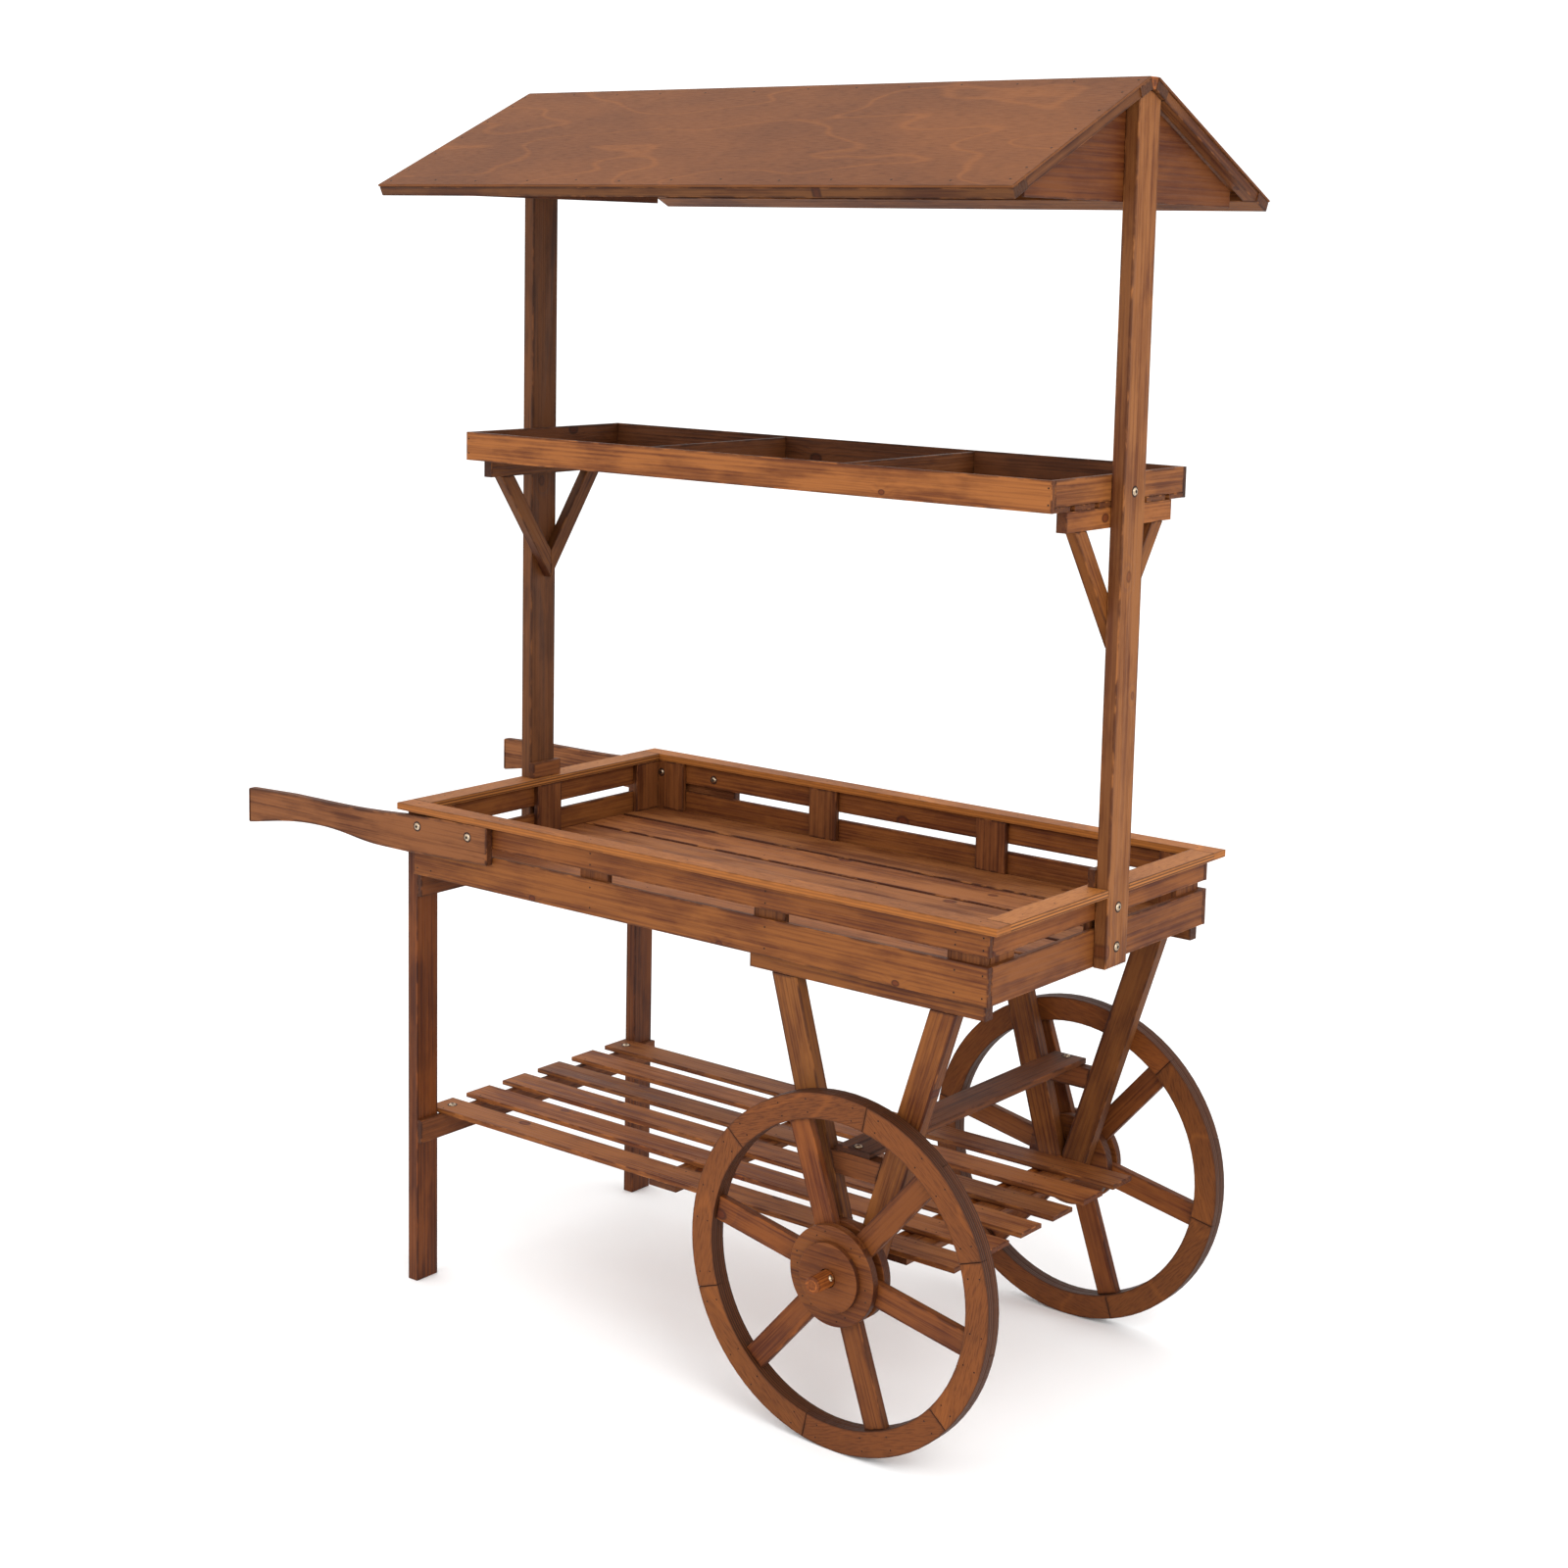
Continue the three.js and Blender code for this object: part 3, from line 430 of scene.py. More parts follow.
def stained_plywood(name, light, dark, layer, contours=0.3, cut=0.8, sawn=0.4, rough=0.55):
    """Plywood under the same stain: a cloudy face with pale contours, and on the cut edges layers as
    strong as `cut`, over a colour that goes from light to dark as `sawn` goes from 0 to 1."""
    material = bpy.data.materials.new(name)
    material.use_nodes = True
    tree = material.node_tree
    grain = attribute(tree, "grain", "Vector")
    figure = placed(tree, veneer, {"Grain": grain, "Layer": layer})
    handled_and_highlit = placed(tree, handling, {"Grain": grain, "Wear And Highlight": attribute(tree, "wear_and_highlight")})
    depth = maths(tree, "MULTIPLY_ADD", figure["Contours"], -contours, 0.22)
    depth = maths(tree, "MULTIPLY_ADD", ramp(tree, figure["Clouds"], 0.36, 0.66), 0.42, depth)
    depth = maths(tree, "MULTIPLY_ADD", ramp(tree, figure["Flecks"], 0.42, 0.7), 0.45, depth)
    face = blend(tree, depth, light, dark)
    core = tuple(a * 0.3 for a in dark[:3]) + (1,)
    ply = tuple((1 - sawn) * a + sawn * b for a, b in zip(light, dark))
    rim = blend(tree, maths(tree, "MULTIPLY", figure["Layers"], cut), ply, core)
    colour = blend(tree, attribute(tree, "side"), face, rim)
    grimy = tuple(a * 0.45 for a in dark[:3]) + (1,)
    colour = blend(tree, maths(tree, "MULTIPLY", handled_and_highlit["Grime"], 0.4), colour, grimy)
    colour = blend(tree, 1.0, colour, attribute(tree, "tone", "Vector"), "MULTIPLY")
    gloss = maths(tree, "MULTIPLY_ADD", figure["Flecks"], 0.15, rough)
    relief = maths(tree, "MULTIPLY", figure["Layers"], cut)
    relief = maths(tree, "MULTIPLY", relief, attribute(tree, "side"))
    height = maths(tree, "SUBTRACT", figure["Flecks"], relief)
    finished(tree, colour, gloss, height, 0.0004)
    return material


def bounds_of(node):
    """A CAD node's two corners in millimetres."""
    low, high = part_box(node)
    return np.array(low) / MM, np.array(high) / MM


def rectangle(x0, x1, y0, y1):
    """Four corners, taken round once."""
    return np.array([(x0, y0), (x1, y0), (x1, y1), (x0, y1)], float)


def board(low, high, tone=None, along=None, ply=False, ease=ARRIS):
    """A straight board between two corners: thinnest way through, longest way along the grain."""
    low, high = np.asarray(low, float), np.asarray(high, float)
    size = high - low
    through, across, length = np.argsort(size)
    if along is not None and along != length:
        across, length = length, along
    outline = rectangle(low[length], high[length], low[across], high[across])
    axes = "xyz"[length] + "xyz"[across] + "xyz"[through]
    return slab(outline, low[through], high[through], axes, ply=ply, tone=tone, ease=ease)


# Wheels: each rim is twelve plywood felloes in two layers with their joints staggered, nailed to one
# another; six flat spokes run from the hub to the rim; the hub is discs on a core, under a cap.
WHEEL_RIGHT, WHEEL_UP = 524, 274
WHEEL_CENTRE = (WHEEL_RIGHT, 0, WHEEL_UP)
RIM_RADIUS, RIM_INSIDE_RADIUS = 274, 234
FELLOES, SPOKES = 6, 6
FELLOE_GAP, LAYER_GAP = 0.35, 0.3
FACE_JOINT, BACK_JOINT = 19, 49
SPOKE_WIDE, SPOKE_TURN = 38, 49
SPOKE_NEAR, SPOKE_FAR, CAP_NEAR = 323, 337, 351
HUB_CORE, HUB_DISC, HUB_CAP, HUB_BORE = 38, 77, 53.5, 14.5
DISC_GAP = 0.2

# The wheel plywood's cut edges take the full dark colour (sawn 1.0): partly the plywood's own dark cut
# edges, partly painted shade on the inside of the rim.
wheel_ply = stained_plywood("wheel_plywood", dye(121, 68, 28), dye(78, 42, 17), 0.00233, cut=0.9, sawn=1.0)
spoke_wood = stained_softwood("spoke_wood", dye(111, 62, 26), dye(70, 32, 9), 0.3, 0.006)


def felloe(start, end):
    """A piece of ring: the outer arc from start to end, then the inner arc back."""
    trim = FELLOE_GAP / RIM_RADIUS
    a = np.linspace(start + trim, end - trim, 15)
    arc = np.stack([np.cos(a), np.sin(a)], 1)
    return np.concatenate([arc * RIM_RADIUS, arc[::-1] * RIM_INSIDE_RADIUS])


def turned(profile, side, tone, steps=72):
    """A turned disc with a bore: a closed profile of (radius, distance out from the cart's middle)
    carried once round the axle. The grain lies along X as on a disc sawn from a flat board."""
    radius, out = np.asarray(profile, float).T
    a = np.arange(steps) * 2 * math.pi / steps
    x = radius[None] * np.cos(a)[:, None]
    z = radius[None] * np.sin(a)[:, None]
    y = np.broadcast_to(side * out[None], x.shape)
    place = np.stack([x + WHEEL_RIGHT, y, z + WHEEL_UP], 2).reshape(-1, 3)
    count = len(radius)
    i = np.arange(steps)[:, None] * count
    i2 = np.roll(i, -1, 0)
    j = np.arange(count)[None]
    j2 = np.roll(j, -1, 1)
    faces = np.stack([i + j, i + j2, i2 + j2, i2 + j], 2).reshape(-1, 4)
    area = np.sum(radius * np.roll(out, -1) - np.roll(radius, -1) * out)
    if (area < 0) != (side < 0):
        faces = faces[:, ::-1]
    rim = np.abs(np.roll(radius, -1) - radius) < np.abs(np.roll(out, -1) - out)
    lie = place[:, [0, 2, 1]] + chance.uniform((-4000, -40, 20), (4000, 40, 60))
    lean = np.abs(np.cos(a + a[1] / 2))[:, None] > 0.7
    return {
        "place": place,
        "faces": faces.tolist(),
        "grain": lie * MM,
        "wear_and_highlight": np.zeros(len(place)),
        "tone": toned(tone * chance.uniform(0.95, 1.05), len(place)),
        "side": np.tile(rim, steps).astype(float),
        "end": (lean & rim[None]).astype(float).ravel(),
    }


def disc_profile(outer, near, far, ease=1.6):
    """Once round a disc's section, with its two outer corners eased by quarter rounds."""
    turn = np.linspace(0, math.pi / 2, 4)
    lower = np.stack([outer - ease + ease * np.sin(turn), near + ease - ease * np.cos(turn)], 1)
    upper = np.stack([outer - ease + ease * np.cos(turn), far - ease + ease * np.sin(turn)], 1)
    return np.concatenate([[(HUB_BORE, near)], lower, upper, [(HUB_BORE, far)]])


for name, side in (("front", -1), ("rear", 1)):
    body = f"wheel_{name}"
    low, high = bounds_of(f"wheel_rim_{name}")
    middle = (low[1] + high[1]) / 2
    rims = []
    for joint, near, far in (
        (FACE_JOINT if side < 0 else BACK_JOINT, low[1], middle - LAYER_GAP / 2),
        (BACK_JOINT if side < 0 else FACE_JOINT, middle + LAYER_GAP / 2, high[1]),
    ):
        for k in range(FELLOES):
            start = math.radians(joint + k * 60)
            end = start + math.radians(60)
            lie = (start + end) / 2 + math.pi / 2
            rims.append(slab(felloe(start, end), near, far, "xzy", lie, ply=True, origin=WHEEL_CENTRE))
    made(f"felloes_{name}", rims, wheel_ply, [f"wheel_rim_{name}"], body)

    low, high = bounds_of(f"wheel_spokes_{name}")
    spokes = []
    for k in range(SPOKES):
        a = math.radians(SPOKE_TURN + 60 * k)
        outline = rectangle(HUB_CORE + 1, RIM_INSIDE_RADIUS - 2 * GAP, -SPOKE_WIDE / 2, SPOKE_WIDE / 2)
        axes = [(math.cos(a), 0, math.sin(a)), (-math.sin(a), 0, math.cos(a)), (0, 1, 0)]
        spokes.append(slab(outline, low[1], high[1], axes, origin=WHEEL_CENTRE))
    made(f"spokes_{name}", spokes, spoke_wood, [f"wheel_spokes_{name}"], body)

    low, high = np.sort(np.abs(np.array(bounds_of(f"wheel_hub_{name}"))[:, 1]))
    hub = [
        turned(disc_profile(HUB_DISC, low, SPOKE_NEAR - DISC_GAP), side, 0.86),
        turned(disc_profile(HUB_CORE, SPOKE_NEAR, SPOKE_FAR), side, 0.8),
        turned(disc_profile(HUB_DISC, SPOKE_FAR + DISC_GAP, CAP_NEAR - DISC_GAP), side, 0.95),
        turned(disc_profile(HUB_CAP, CAP_NEAR, high), side, 0.92),
    ]
    made(f"hub_{name}", hub, spoke_wood, [f"wheel_hub_{name}"], body)

# Axle: one long dowel, left paler than the rest, right across under the lower shelf.
DOWEL_RADIUS, DOWEL_EASE = 13, 2.5
dowel_wood = stained_softwood("dowel_wood", dye(159, 88, 35), dye(96, 48, 17), 0.22, 0.004, knots=0)


def circle(radius, steps):
    """An outline whose points stand at even angles round a circle."""
    a = np.arange(steps) * 2 * math.pi / steps
    return np.stack([np.cos(a), np.sin(a)], 1) * radius


low, high = bounds_of("axle")
dowel = slab(circle(DOWEL_RADIUS, 40), low[1], high[1], "xzy", None, DOWEL_EASE, origin=WHEEL_CENTRE)
made("axle_dowel", [dowel], dowel_wood, ["axle"])

# Wheel supports: on each side an under-rail, two struts meeting in a V at the axle, and a tie across
# the V; a cross batten joins the two ties. A strut's edges are given by where they start at the top.
strut_wood = stained_softwood("strut_wood", dye(111, 66, 29), dye(69, 33, 10), 0.42, 0.0065)
# dark_strut is the strut wood darkened as painted shade, for the ties, the cross batten and the leg rails
# in the shade under the tray.
dark_strut = stained_softwood("shaded_strut_wood", dye(105, 59, 29), dye(64, 32, 10), 0.38, 0.006)
CART_SHIFT = 180
STRUT_TOP, STRUT_FOOT = 696.4, 252
LEFT_OUTER, LEFT_INNER, LEFT_LEAN = 184, 231, 0.28
RIGHT_OUTER, RIGHT_INNER, RIGHT_LEAN = 520, 473, -0.31
STRUT_JOINT = 347
TIE_LOW, TIE_HIGH = 412, 447


def leaning(x, lean, z):
    """Where a strut's edge is at a height: its place at the top, plus its lean times the drop."""
    return x + lean * (STRUT_TOP - z)


def strut_shape(outer, inner, lean, joint):
    """A strut from its top to the axle, cut upright where it meets the other one of its V."""
    return [
        (outer, STRUT_TOP),
        (leaning(outer, lean, STRUT_FOOT), STRUT_FOOT),
        (joint, STRUT_FOOT),
        (joint, STRUT_TOP - (joint - inner) / lean),
        (inner, STRUT_TOP),
    ]


def plain_board(name, node, wood):
    """One straight board in the place of a CAD node."""
    made(name, [board(*bounds_of(node))], wood, [node])


tie_shape = [
    (leaning(LEFT_INNER + GAP, LEFT_LEAN, TIE_HIGH), TIE_HIGH),
    (leaning(LEFT_INNER + GAP, LEFT_LEAN, TIE_LOW), TIE_LOW),
    (leaning(RIGHT_INNER - GAP, RIGHT_LEAN, TIE_LOW), TIE_LOW),
    (leaning(RIGHT_INNER - GAP, RIGHT_LEAN, TIE_HIGH), TIE_HIGH),
]
for name in ("front", "rear"):
    for hand, outer, inner, lean, joint in (
        ("left", LEFT_OUTER, LEFT_INNER, LEFT_LEAN, STRUT_JOINT - GAP),
        ("right", RIGHT_OUTER, RIGHT_INNER, RIGHT_LEAN, STRUT_JOINT + GAP),
    ):
        node = f"strut_{hand}_{name}"
        low, high = bounds_of(node)
        lie = math.atan2(-1, lean)
        shape = strut_shape(outer, inner, lean, joint)
        one = slab(shape, low[1], high[1], "xzy", lie, origin=(CART_SHIFT, 0, 0))
        made(f"{hand}_strut_{name}", [one], strut_wood, [node])
    low, high = bounds_of(f"strut_tie_{name}")
    one = slab(tie_shape, low[1], high[1], "xzy", origin=(CART_SHIFT, 0, 0))
    made(f"tie_{name}", [one], dark_strut, [f"strut_tie_{name}"])
    plain_board(f"rail_under_{name}", f"under_rail_{name}", strut_wood)
plain_board("batten_across", "cross_batten", dark_strut)

# Legs: two battens standing outside the handle end of the tray, with an upper and a lower rail.
leg_wood = stained_softwood("leg_wood", dye(98, 53, 22), dye(61, 28, 8), 0.38, 0.0055, edge=0)
for name in ("front", "rear"):
    plain_board(f"standing_leg_{name}", f"leg_{name}", leg_wood)
for name in ("upper", "lower"):
    plain_board(f"end_rail_{name}", f"leg_rail_{name}", dark_strut)

# Lower shelf: six slats laid over the lower leg rail and past the axle, with two bearers under them.
slat_wood = stained_softwood("slat_wood", dye(141, 85, 42), dye(92, 45, 16), 0.42, 0.0058)
SLATS, SLAT_WIDE, SLAT_PITCH, SLAT_THICK = 6, 57, 90.2, 8
LOW_BEARERS = ((80, 137), (541, 589))
BEARER_SHORT, BEARER_GAP, BEARER_TONE = 4, 0.2, 0.8
low, high = bounds_of("lower_shelf")
slat_foot = high[2] - SLAT_THICK
laid = []
for k in range(SLATS):
    near = (k - 2.5) * SLAT_PITCH - SLAT_WIDE / 2
    laid.append(board((low[0], near, slat_foot), (high[0], near + SLAT_WIDE, high[2])))
reach = 2.5 * SLAT_PITCH + SLAT_WIDE / 2 - BEARER_SHORT
for x0, x1 in LOW_BEARERS:
    laid.append(board((x0, -reach, low[2]), (x1, reach, slat_foot - BEARER_GAP), BEARER_TONE))
made("shelf_slats_lower", laid, slat_wood, ["lower_shelf"])

# Tray floor: six planks laid lengthways with narrow gaps, opened a little by shrinkage, over cross
# bearers that stop short of the under-rails at the wheel end.
plank_wood = stained_softwood("plank_wood", dye(116, 68, 30), dye(76, 37, 12), 0.42, 0.0068)
# floor_wood darkens the planks' sawn sides strongly (edge 0.9): partly their own darker sawn colour,
# partly painted shade in the gaps between the planks.
floor_wood = stained_softwood("floor_wood", dye(153, 96, 53), dye(96, 49, 20), 0.35, 0.0062, edge=0.9)
FLOOR_PLANKS, FLOOR_GAP, PLANK_THICK = 6, 4, 9
SHRINKAGE = 2.4
FLOOR_BEARERS = (-365, 5, 280, 530, 725)
FLOOR_BEARER_HALF, UNDER_RAIL_THICK = 20, 20
low, high = bounds_of("tray_floor")
wide = (high[1] - low[1] - (FLOOR_PLANKS - 1) * FLOOR_GAP) / FLOOR_PLANKS
laid = []
for k in range(FLOOR_PLANKS):
    y = low[1] + k * (wide + FLOOR_GAP)
    near, far = y + SHRINKAGE, y + wide - SHRINKAGE
    laid.append(board((low[0], near, high[2] - PLANK_THICK), (high[0], far, high[2]), ease=1.8))
bearer_top = high[2] - PLANK_THICK - BEARER_GAP
for x in FLOOR_BEARERS:
    reach = high[1] - (UNDER_RAIL_THICK + GAP if x > CART_SHIFT else 0)
    x0, x1 = x - FLOOR_BEARER_HALF, x + FLOOR_BEARER_HALF
    laid.append(board((x0, -reach, low[2]), (x1, reach, bearer_top), BEARER_TONE))
made("floor_planks", laid, floor_wood, ["tray_floor"])

# Tray walls: an upper and a lower plank with a gap between them, nailed to upright battens inside.
# The long planks cap the ends of the short ones.
# inner_wood is darker plank wood: painted shade on the battens inside the walls and on the post blocks.
inner_wood = stained_softwood("shaded_plank_wood", dye(115, 68, 35), dye(72, 36, 13), 0.38, 0.006)
LOWER_PLANK_TOP, UPPER_PLANK_FOOT = 779, 793
WALL_BATTEN, BATTEN_FOOT = 10, 742.5
LONG_WALL_BATTENS = ((-387, -320), (-27.5, 32.5), (327.5, 387.5), (680.7, 747.3))
END_WALL_BATTENS = ((-292.4, -232.4), (-30, 30), (232.4, 292.4))


def tray_wall(name, side, through, battens):
    """One wall, which is thin along the axis `through`, with battens between the places given."""
    node = f"tray_wall_{name}"
    low, high = bounds_of(node)
    run = 1 - through
    inner, outer = (low[through], high[through]) if side > 0 else (high[through], low[through])

    def upright_board(ends, face, depth, foot, top, along):
        """A board from end to end that reaches in from a face, `depth` thick, from foot to top."""
        first, last = np.full(3, foot, float), np.full(3, top, float)
        first[run], last[run] = ends
        first[through], last[through] = sorted((face, face + depth))
        return board(first, last, along=along)

    ends = (low[run], high[run])
    planks = []
    for foot, top in ((low[2], LOWER_PLANK_TOP), (UPPER_PLANK_FOOT, high[2])):
        planks.append(upright_board(ends, outer, -side * PLANK_THICK, foot, top, run))
    made(f"wall_planks_{name}", planks, plank_wood, [node])
    uprights = []
    for ends in battens:
        uprights.append(upright_board(ends, inner, side * WALL_BATTEN, BATTEN_FOOT, high[2], 2))
    made(f"wall_battens_{name}", uprights, inner_wood, ())


for name, side in (("front", -1), ("rear", 1)):
    tray_wall(name, side, 1, LONG_WALL_BATTENS)
for name, side in (("left", -1), ("right", 1)):
    tray_wall(name, side, 0, END_WALL_BATTENS)
    plain_board(f"block_{name}", f"post_block_{name}", inner_wood)

# Tray rim: strips of plywood laid flat on the walls, its layers in view, filled and stained over on
# the long sides. The end strips butt between the long ones and are notched round the posts.
rim_ply = stained_plywood("rim_plywood", dye(180, 114, 54), dye(118, 67, 30), 0.0024)
filled_ply = stained_plywood("filled_rim_plywood", dye(174, 106, 47), dye(108, 61, 25), 0.0024, cut=0.3)
NOTCH_HALF, NOTCH_DEEP = 30.3, 22.3
for name in ("front", "rear"):
    strip = board(*bounds_of(f"tray_rim_{name}"), ply=True)
    made(f"rim_strip_{name}", [strip], filled_ply, [f"tray_rim_{name}"])
for name, side in (("left", -1), ("right", 1)):
    low, high = bounds_of(f"tray_rim_{name}")
    inner, outer = (low[0], high[0]) if side > 0 else (high[0], low[0])
    notch = outer - side * NOTCH_DEEP
    outline = [
        (inner, low[1]),
        (outer, low[1]),
        (outer, -NOTCH_HALF),
        (notch, -NOTCH_HALF),
        (notch, NOTCH_HALF),
        (outer, NOTCH_HALF),
        (outer, high[1]),
        (inner, high[1]),
    ]
    strip = slab(outline, low[2], high[2], "xyz", math.pi / 2, ply=True)
    made(f"rim_strip_{name}", [strip], rim_ply, [f"tray_rim_{name}"])

# Handles: boards bolted along the long walls, sloped on top and waisted underneath where they are
# gripped, with their tips rounded off.
handle_wood = stained_softwood("handle_wood", dye(121, 74, 41), dye(76, 39, 15), 0.38, 0.0062)
tip, root = -978, -392
HANDLE_EASE = 2.2


def curve(*controls, steps=12):
    """A cubic curve: its four control points weighted by the binomial powers of t and 1 - t."""
    t = np.linspace(0, 1, steps, endpoint=False)[:, None]
    p = np.asarray(controls, float)
    return (1 - t) ** 3 * p[0] + 3 * (1 - t) ** 2 * t * p[1] + 3 * (1 - t) * t**2 * p[2] + t**3 * p[3]


for name in ("front", "rear"):
    low, high = bounds_of(f"handle_{name}")
    top = high[2]
    tip_top, tip_foot, grip, waist = top - 18, top - 80, top - 58, top - 69
    heel = (tip + 6, tip_foot + 1)
    outline = np.concatenate(
        [
            [(root, top - 63), (root, top)],
            curve((-500, top - 1), (-600, top - 6), (-650, top - 14), (-763, top - 14)),
            [(-763, top - 14), (-866, top - 14)],
            curve((tip + 6, tip_top), (tip + 1, tip_top), (tip, tip_top - 1), (tip, tip_top - 6), steps=4),
            curve((tip, tip_foot + 6), (tip, tip_foot + 1), (tip + 1, tip_foot), heel, steps=4),
            curve(heel, (-915, tip_foot + 10), (-870, grip), (-790, grip)),
            curve((-790, grip), (-725, grip), (-700, waist), (-640, waist)),
            [(-640, waist), (-575, waist)],
        ]
    )
    keep = np.linalg.norm(outline - np.roll(outline, 1, 0), axis=1) > 0.01
    bar = slab(outline[keep], low[1], high[1], "xzy", 0.0, HANDLE_EASE, origin=(CART_SHIFT, 0, 0))
    made(f"push_handle_{name}", [bar], handle_wood, [f"handle_{name}"])

# Posts: a batten at each end from the foot of the tray to the ridge, pointed to fit under the roof.
# The one at the handle end is darker, with painted shade under the roof and the shelf.
post_wood = stained_softwood("post_wood", dye(124, 77, 40), dye(86, 45, 16), 0.35, 0.006, 0.7, 0.4)
shaded_post = stained_softwood("shaded_post_wood", dye(92, 55, 28), dye(61, 34, 15), 0.35, 0.006, 0.7, 0)
ROOF_LEAN = math.radians(25.2)
PEAK_HALF = 6
POST_EASE = 1.6


def pointed(low, high):
    """An outline across the cart: upright sides, then two slopes as steep as the roof to a flat peak."""
    shoulder = high[2] - (high[1] - PEAK_HALF) * math.tan(ROOF_LEAN)
    return [
        (low[1], low[2]),
        (high[1], low[2]),
        (high[1], shoulder),
        (PEAK_HALF, high[2]),
        (-PEAK_HALF, high[2]),
        (low[1], shoulder),
    ]


for name, wood in (("left", shaded_post), ("right", post_wood)):
    low, high = bounds_of(f"post_{name}")
    post = slab(pointed(low, high), low[0], high[0], "yzx", math.pi / 2, POST_EASE)
    made(f"upright_{name}", [post], wood, [f"post_{name}"])

# Upper shelf: a shallow tray of thin boards with two dividers, over six slats and an end bearer at
# each post, held by a V of braces.
shelf_wood = stained_softwood("shelf_wood", dye(138, 84, 41), dye(86, 44, 16), 0.45, 0.0075)
# shelf_inside is darker: partly an older, darker stain, partly painted shade on the inside of the shelf.
shelf_inside = stained_softwood("shelf_inside_wood", dye(98, 58, 31), dye(62, 32, 11), 0.38, 0.006)
UPPER_SLAT_FOOT = 1411
END_BEARER_HALF, END_BEARER_THICK = 148, 18
BRACE_FOOT, BRACE_CROTCH, BRACE_RISE = 1198, 1245, 135
BRACE_IN, BRACE_OUT = 92, 124
for name, wood in (("front", shelf_wood), ("rear", shelf_inside)):
    plain_board(f"long_board_{name}", f"shelf_side_{name}", wood)
for name, wood in (
    ("end_left", shelf_inside),
    ("end_right", shelf_wood),
    ("divider_left", shelf_inside),
    ("divider_right", shelf_inside),
):
    plain_board(f"board_{name}", f"shelf_{name}", wood)
low, high = bounds_of("shelf_floor")
laid = []
for y0, y1 in ((6.5, 60.5), (73.5, 127.5), (140.5, high[1])):
    laid.append(board((low[0], y0, UPPER_SLAT_FOOT), (high[0], y1, high[2])))
    laid.append(board((low[0], -y1, UPPER_SLAT_FOOT), (high[0], -y0, high[2])))
# The end bearer at the handle end gets a low tone (0.5): painted shade under the shelf.
for x, tone in ((low[0], 0.5), (high[0] - END_BEARER_THICK, 0.95)):
    far = (x + END_BEARER_THICK, END_BEARER_HALF, UPPER_SLAT_FOOT - BEARER_GAP)
    laid.append(board((x, -END_BEARER_HALF, low[2]), far, tone))
made("shelf_slats_upper", laid, shelf_wood, ["shelf_floor"])
brace_wood = stained_softwood("brace_wood", dye(119, 72, 33), dye(77, 37, 12), 0.38, 0.006)
# The braces at the handle end get a lower tone (0.7): painted shade under the shelf.
for hand, tone in (("left", 0.7), ("right", 1)):
    for name, side in (("front", -1), ("rear", 1)):
        node = f"shelf_brace_{hand}_{name}"
        low, high = bounds_of(node)
        outline = [
            (side * GAP, BRACE_FOOT),
            (side * GAP, BRACE_CROTCH),
            (side * BRACE_IN, high[2]),
            (side * BRACE_OUT, high[2]),
        ]
        lie = math.atan2(BRACE_RISE, side * BRACE_IN)
        brace = slab(outline, low[0], high[0], "yzx", lie, tone=tone)
        made(f"brace_{hand}_{name}", [brace], brace_wood, [node])

# Roof: on each slope a sheet of plywood nailed over a ridge batten, an eave batten and two rafters,
# with a ridge beam in the gap between the sheets and a gable panel behind each post.
roof_ply = stained_plywood("roof_plywood", dye(124, 72, 32), dye(90, 50, 22), 0.0013, 0.45, 0.35)
roof_wood = stained_softwood("roof_frame_wood", dye(110, 67, 33), dye(69, 34, 11), 0.38, 0.006)
gable_wood = stained_softwood("gable_wood", dye(97, 54, 22), dye(72, 34, 9), 0.3, 0.009)
RIDGE_HALF, RIDGE_UP, SLOPE_LONG = 13, 2025, 385
SHEET_THICK, FRAME_THICK = 4, 16
EAVE_WIDE, RIDGE_WIDE, RAFTER_WIDE, RAFTER_INSET = 36, 32, 22, 2
ROOF_LEFT, ROOF_RIGHT = -426, 786
FRAME_DEPTH = (-SHEET_THICK - FRAME_THICK, -SHEET_THICK - GAP)
PANEL_EASE, RIDGE_EASE = 0.6, 1.2


def slope(side):
    """Where one slope starts at the ridge, then its directions down the slope and square to it."""
    start = np.array((0, side * RIDGE_HALF, RIDGE_UP))
    down = np.array((0, side * math.cos(ROOF_LEAN), -math.sin(ROOF_LEAN)))
    up = np.array((0, side * math.sin(ROOF_LEAN), math.cos(ROOF_LEAN)))
    return start, down, up


def on_slope(side, ends, reach, depth, lie=0.0, ply=False):
    """A strip of the roof, by its ends along the ridge, its reach down the slope and its depth."""
    start, down, up = slope(side)
    return slab(rectangle(*ends, *reach), *depth, [(1, 0, 0), down, up], lie, ply=ply, origin=start)


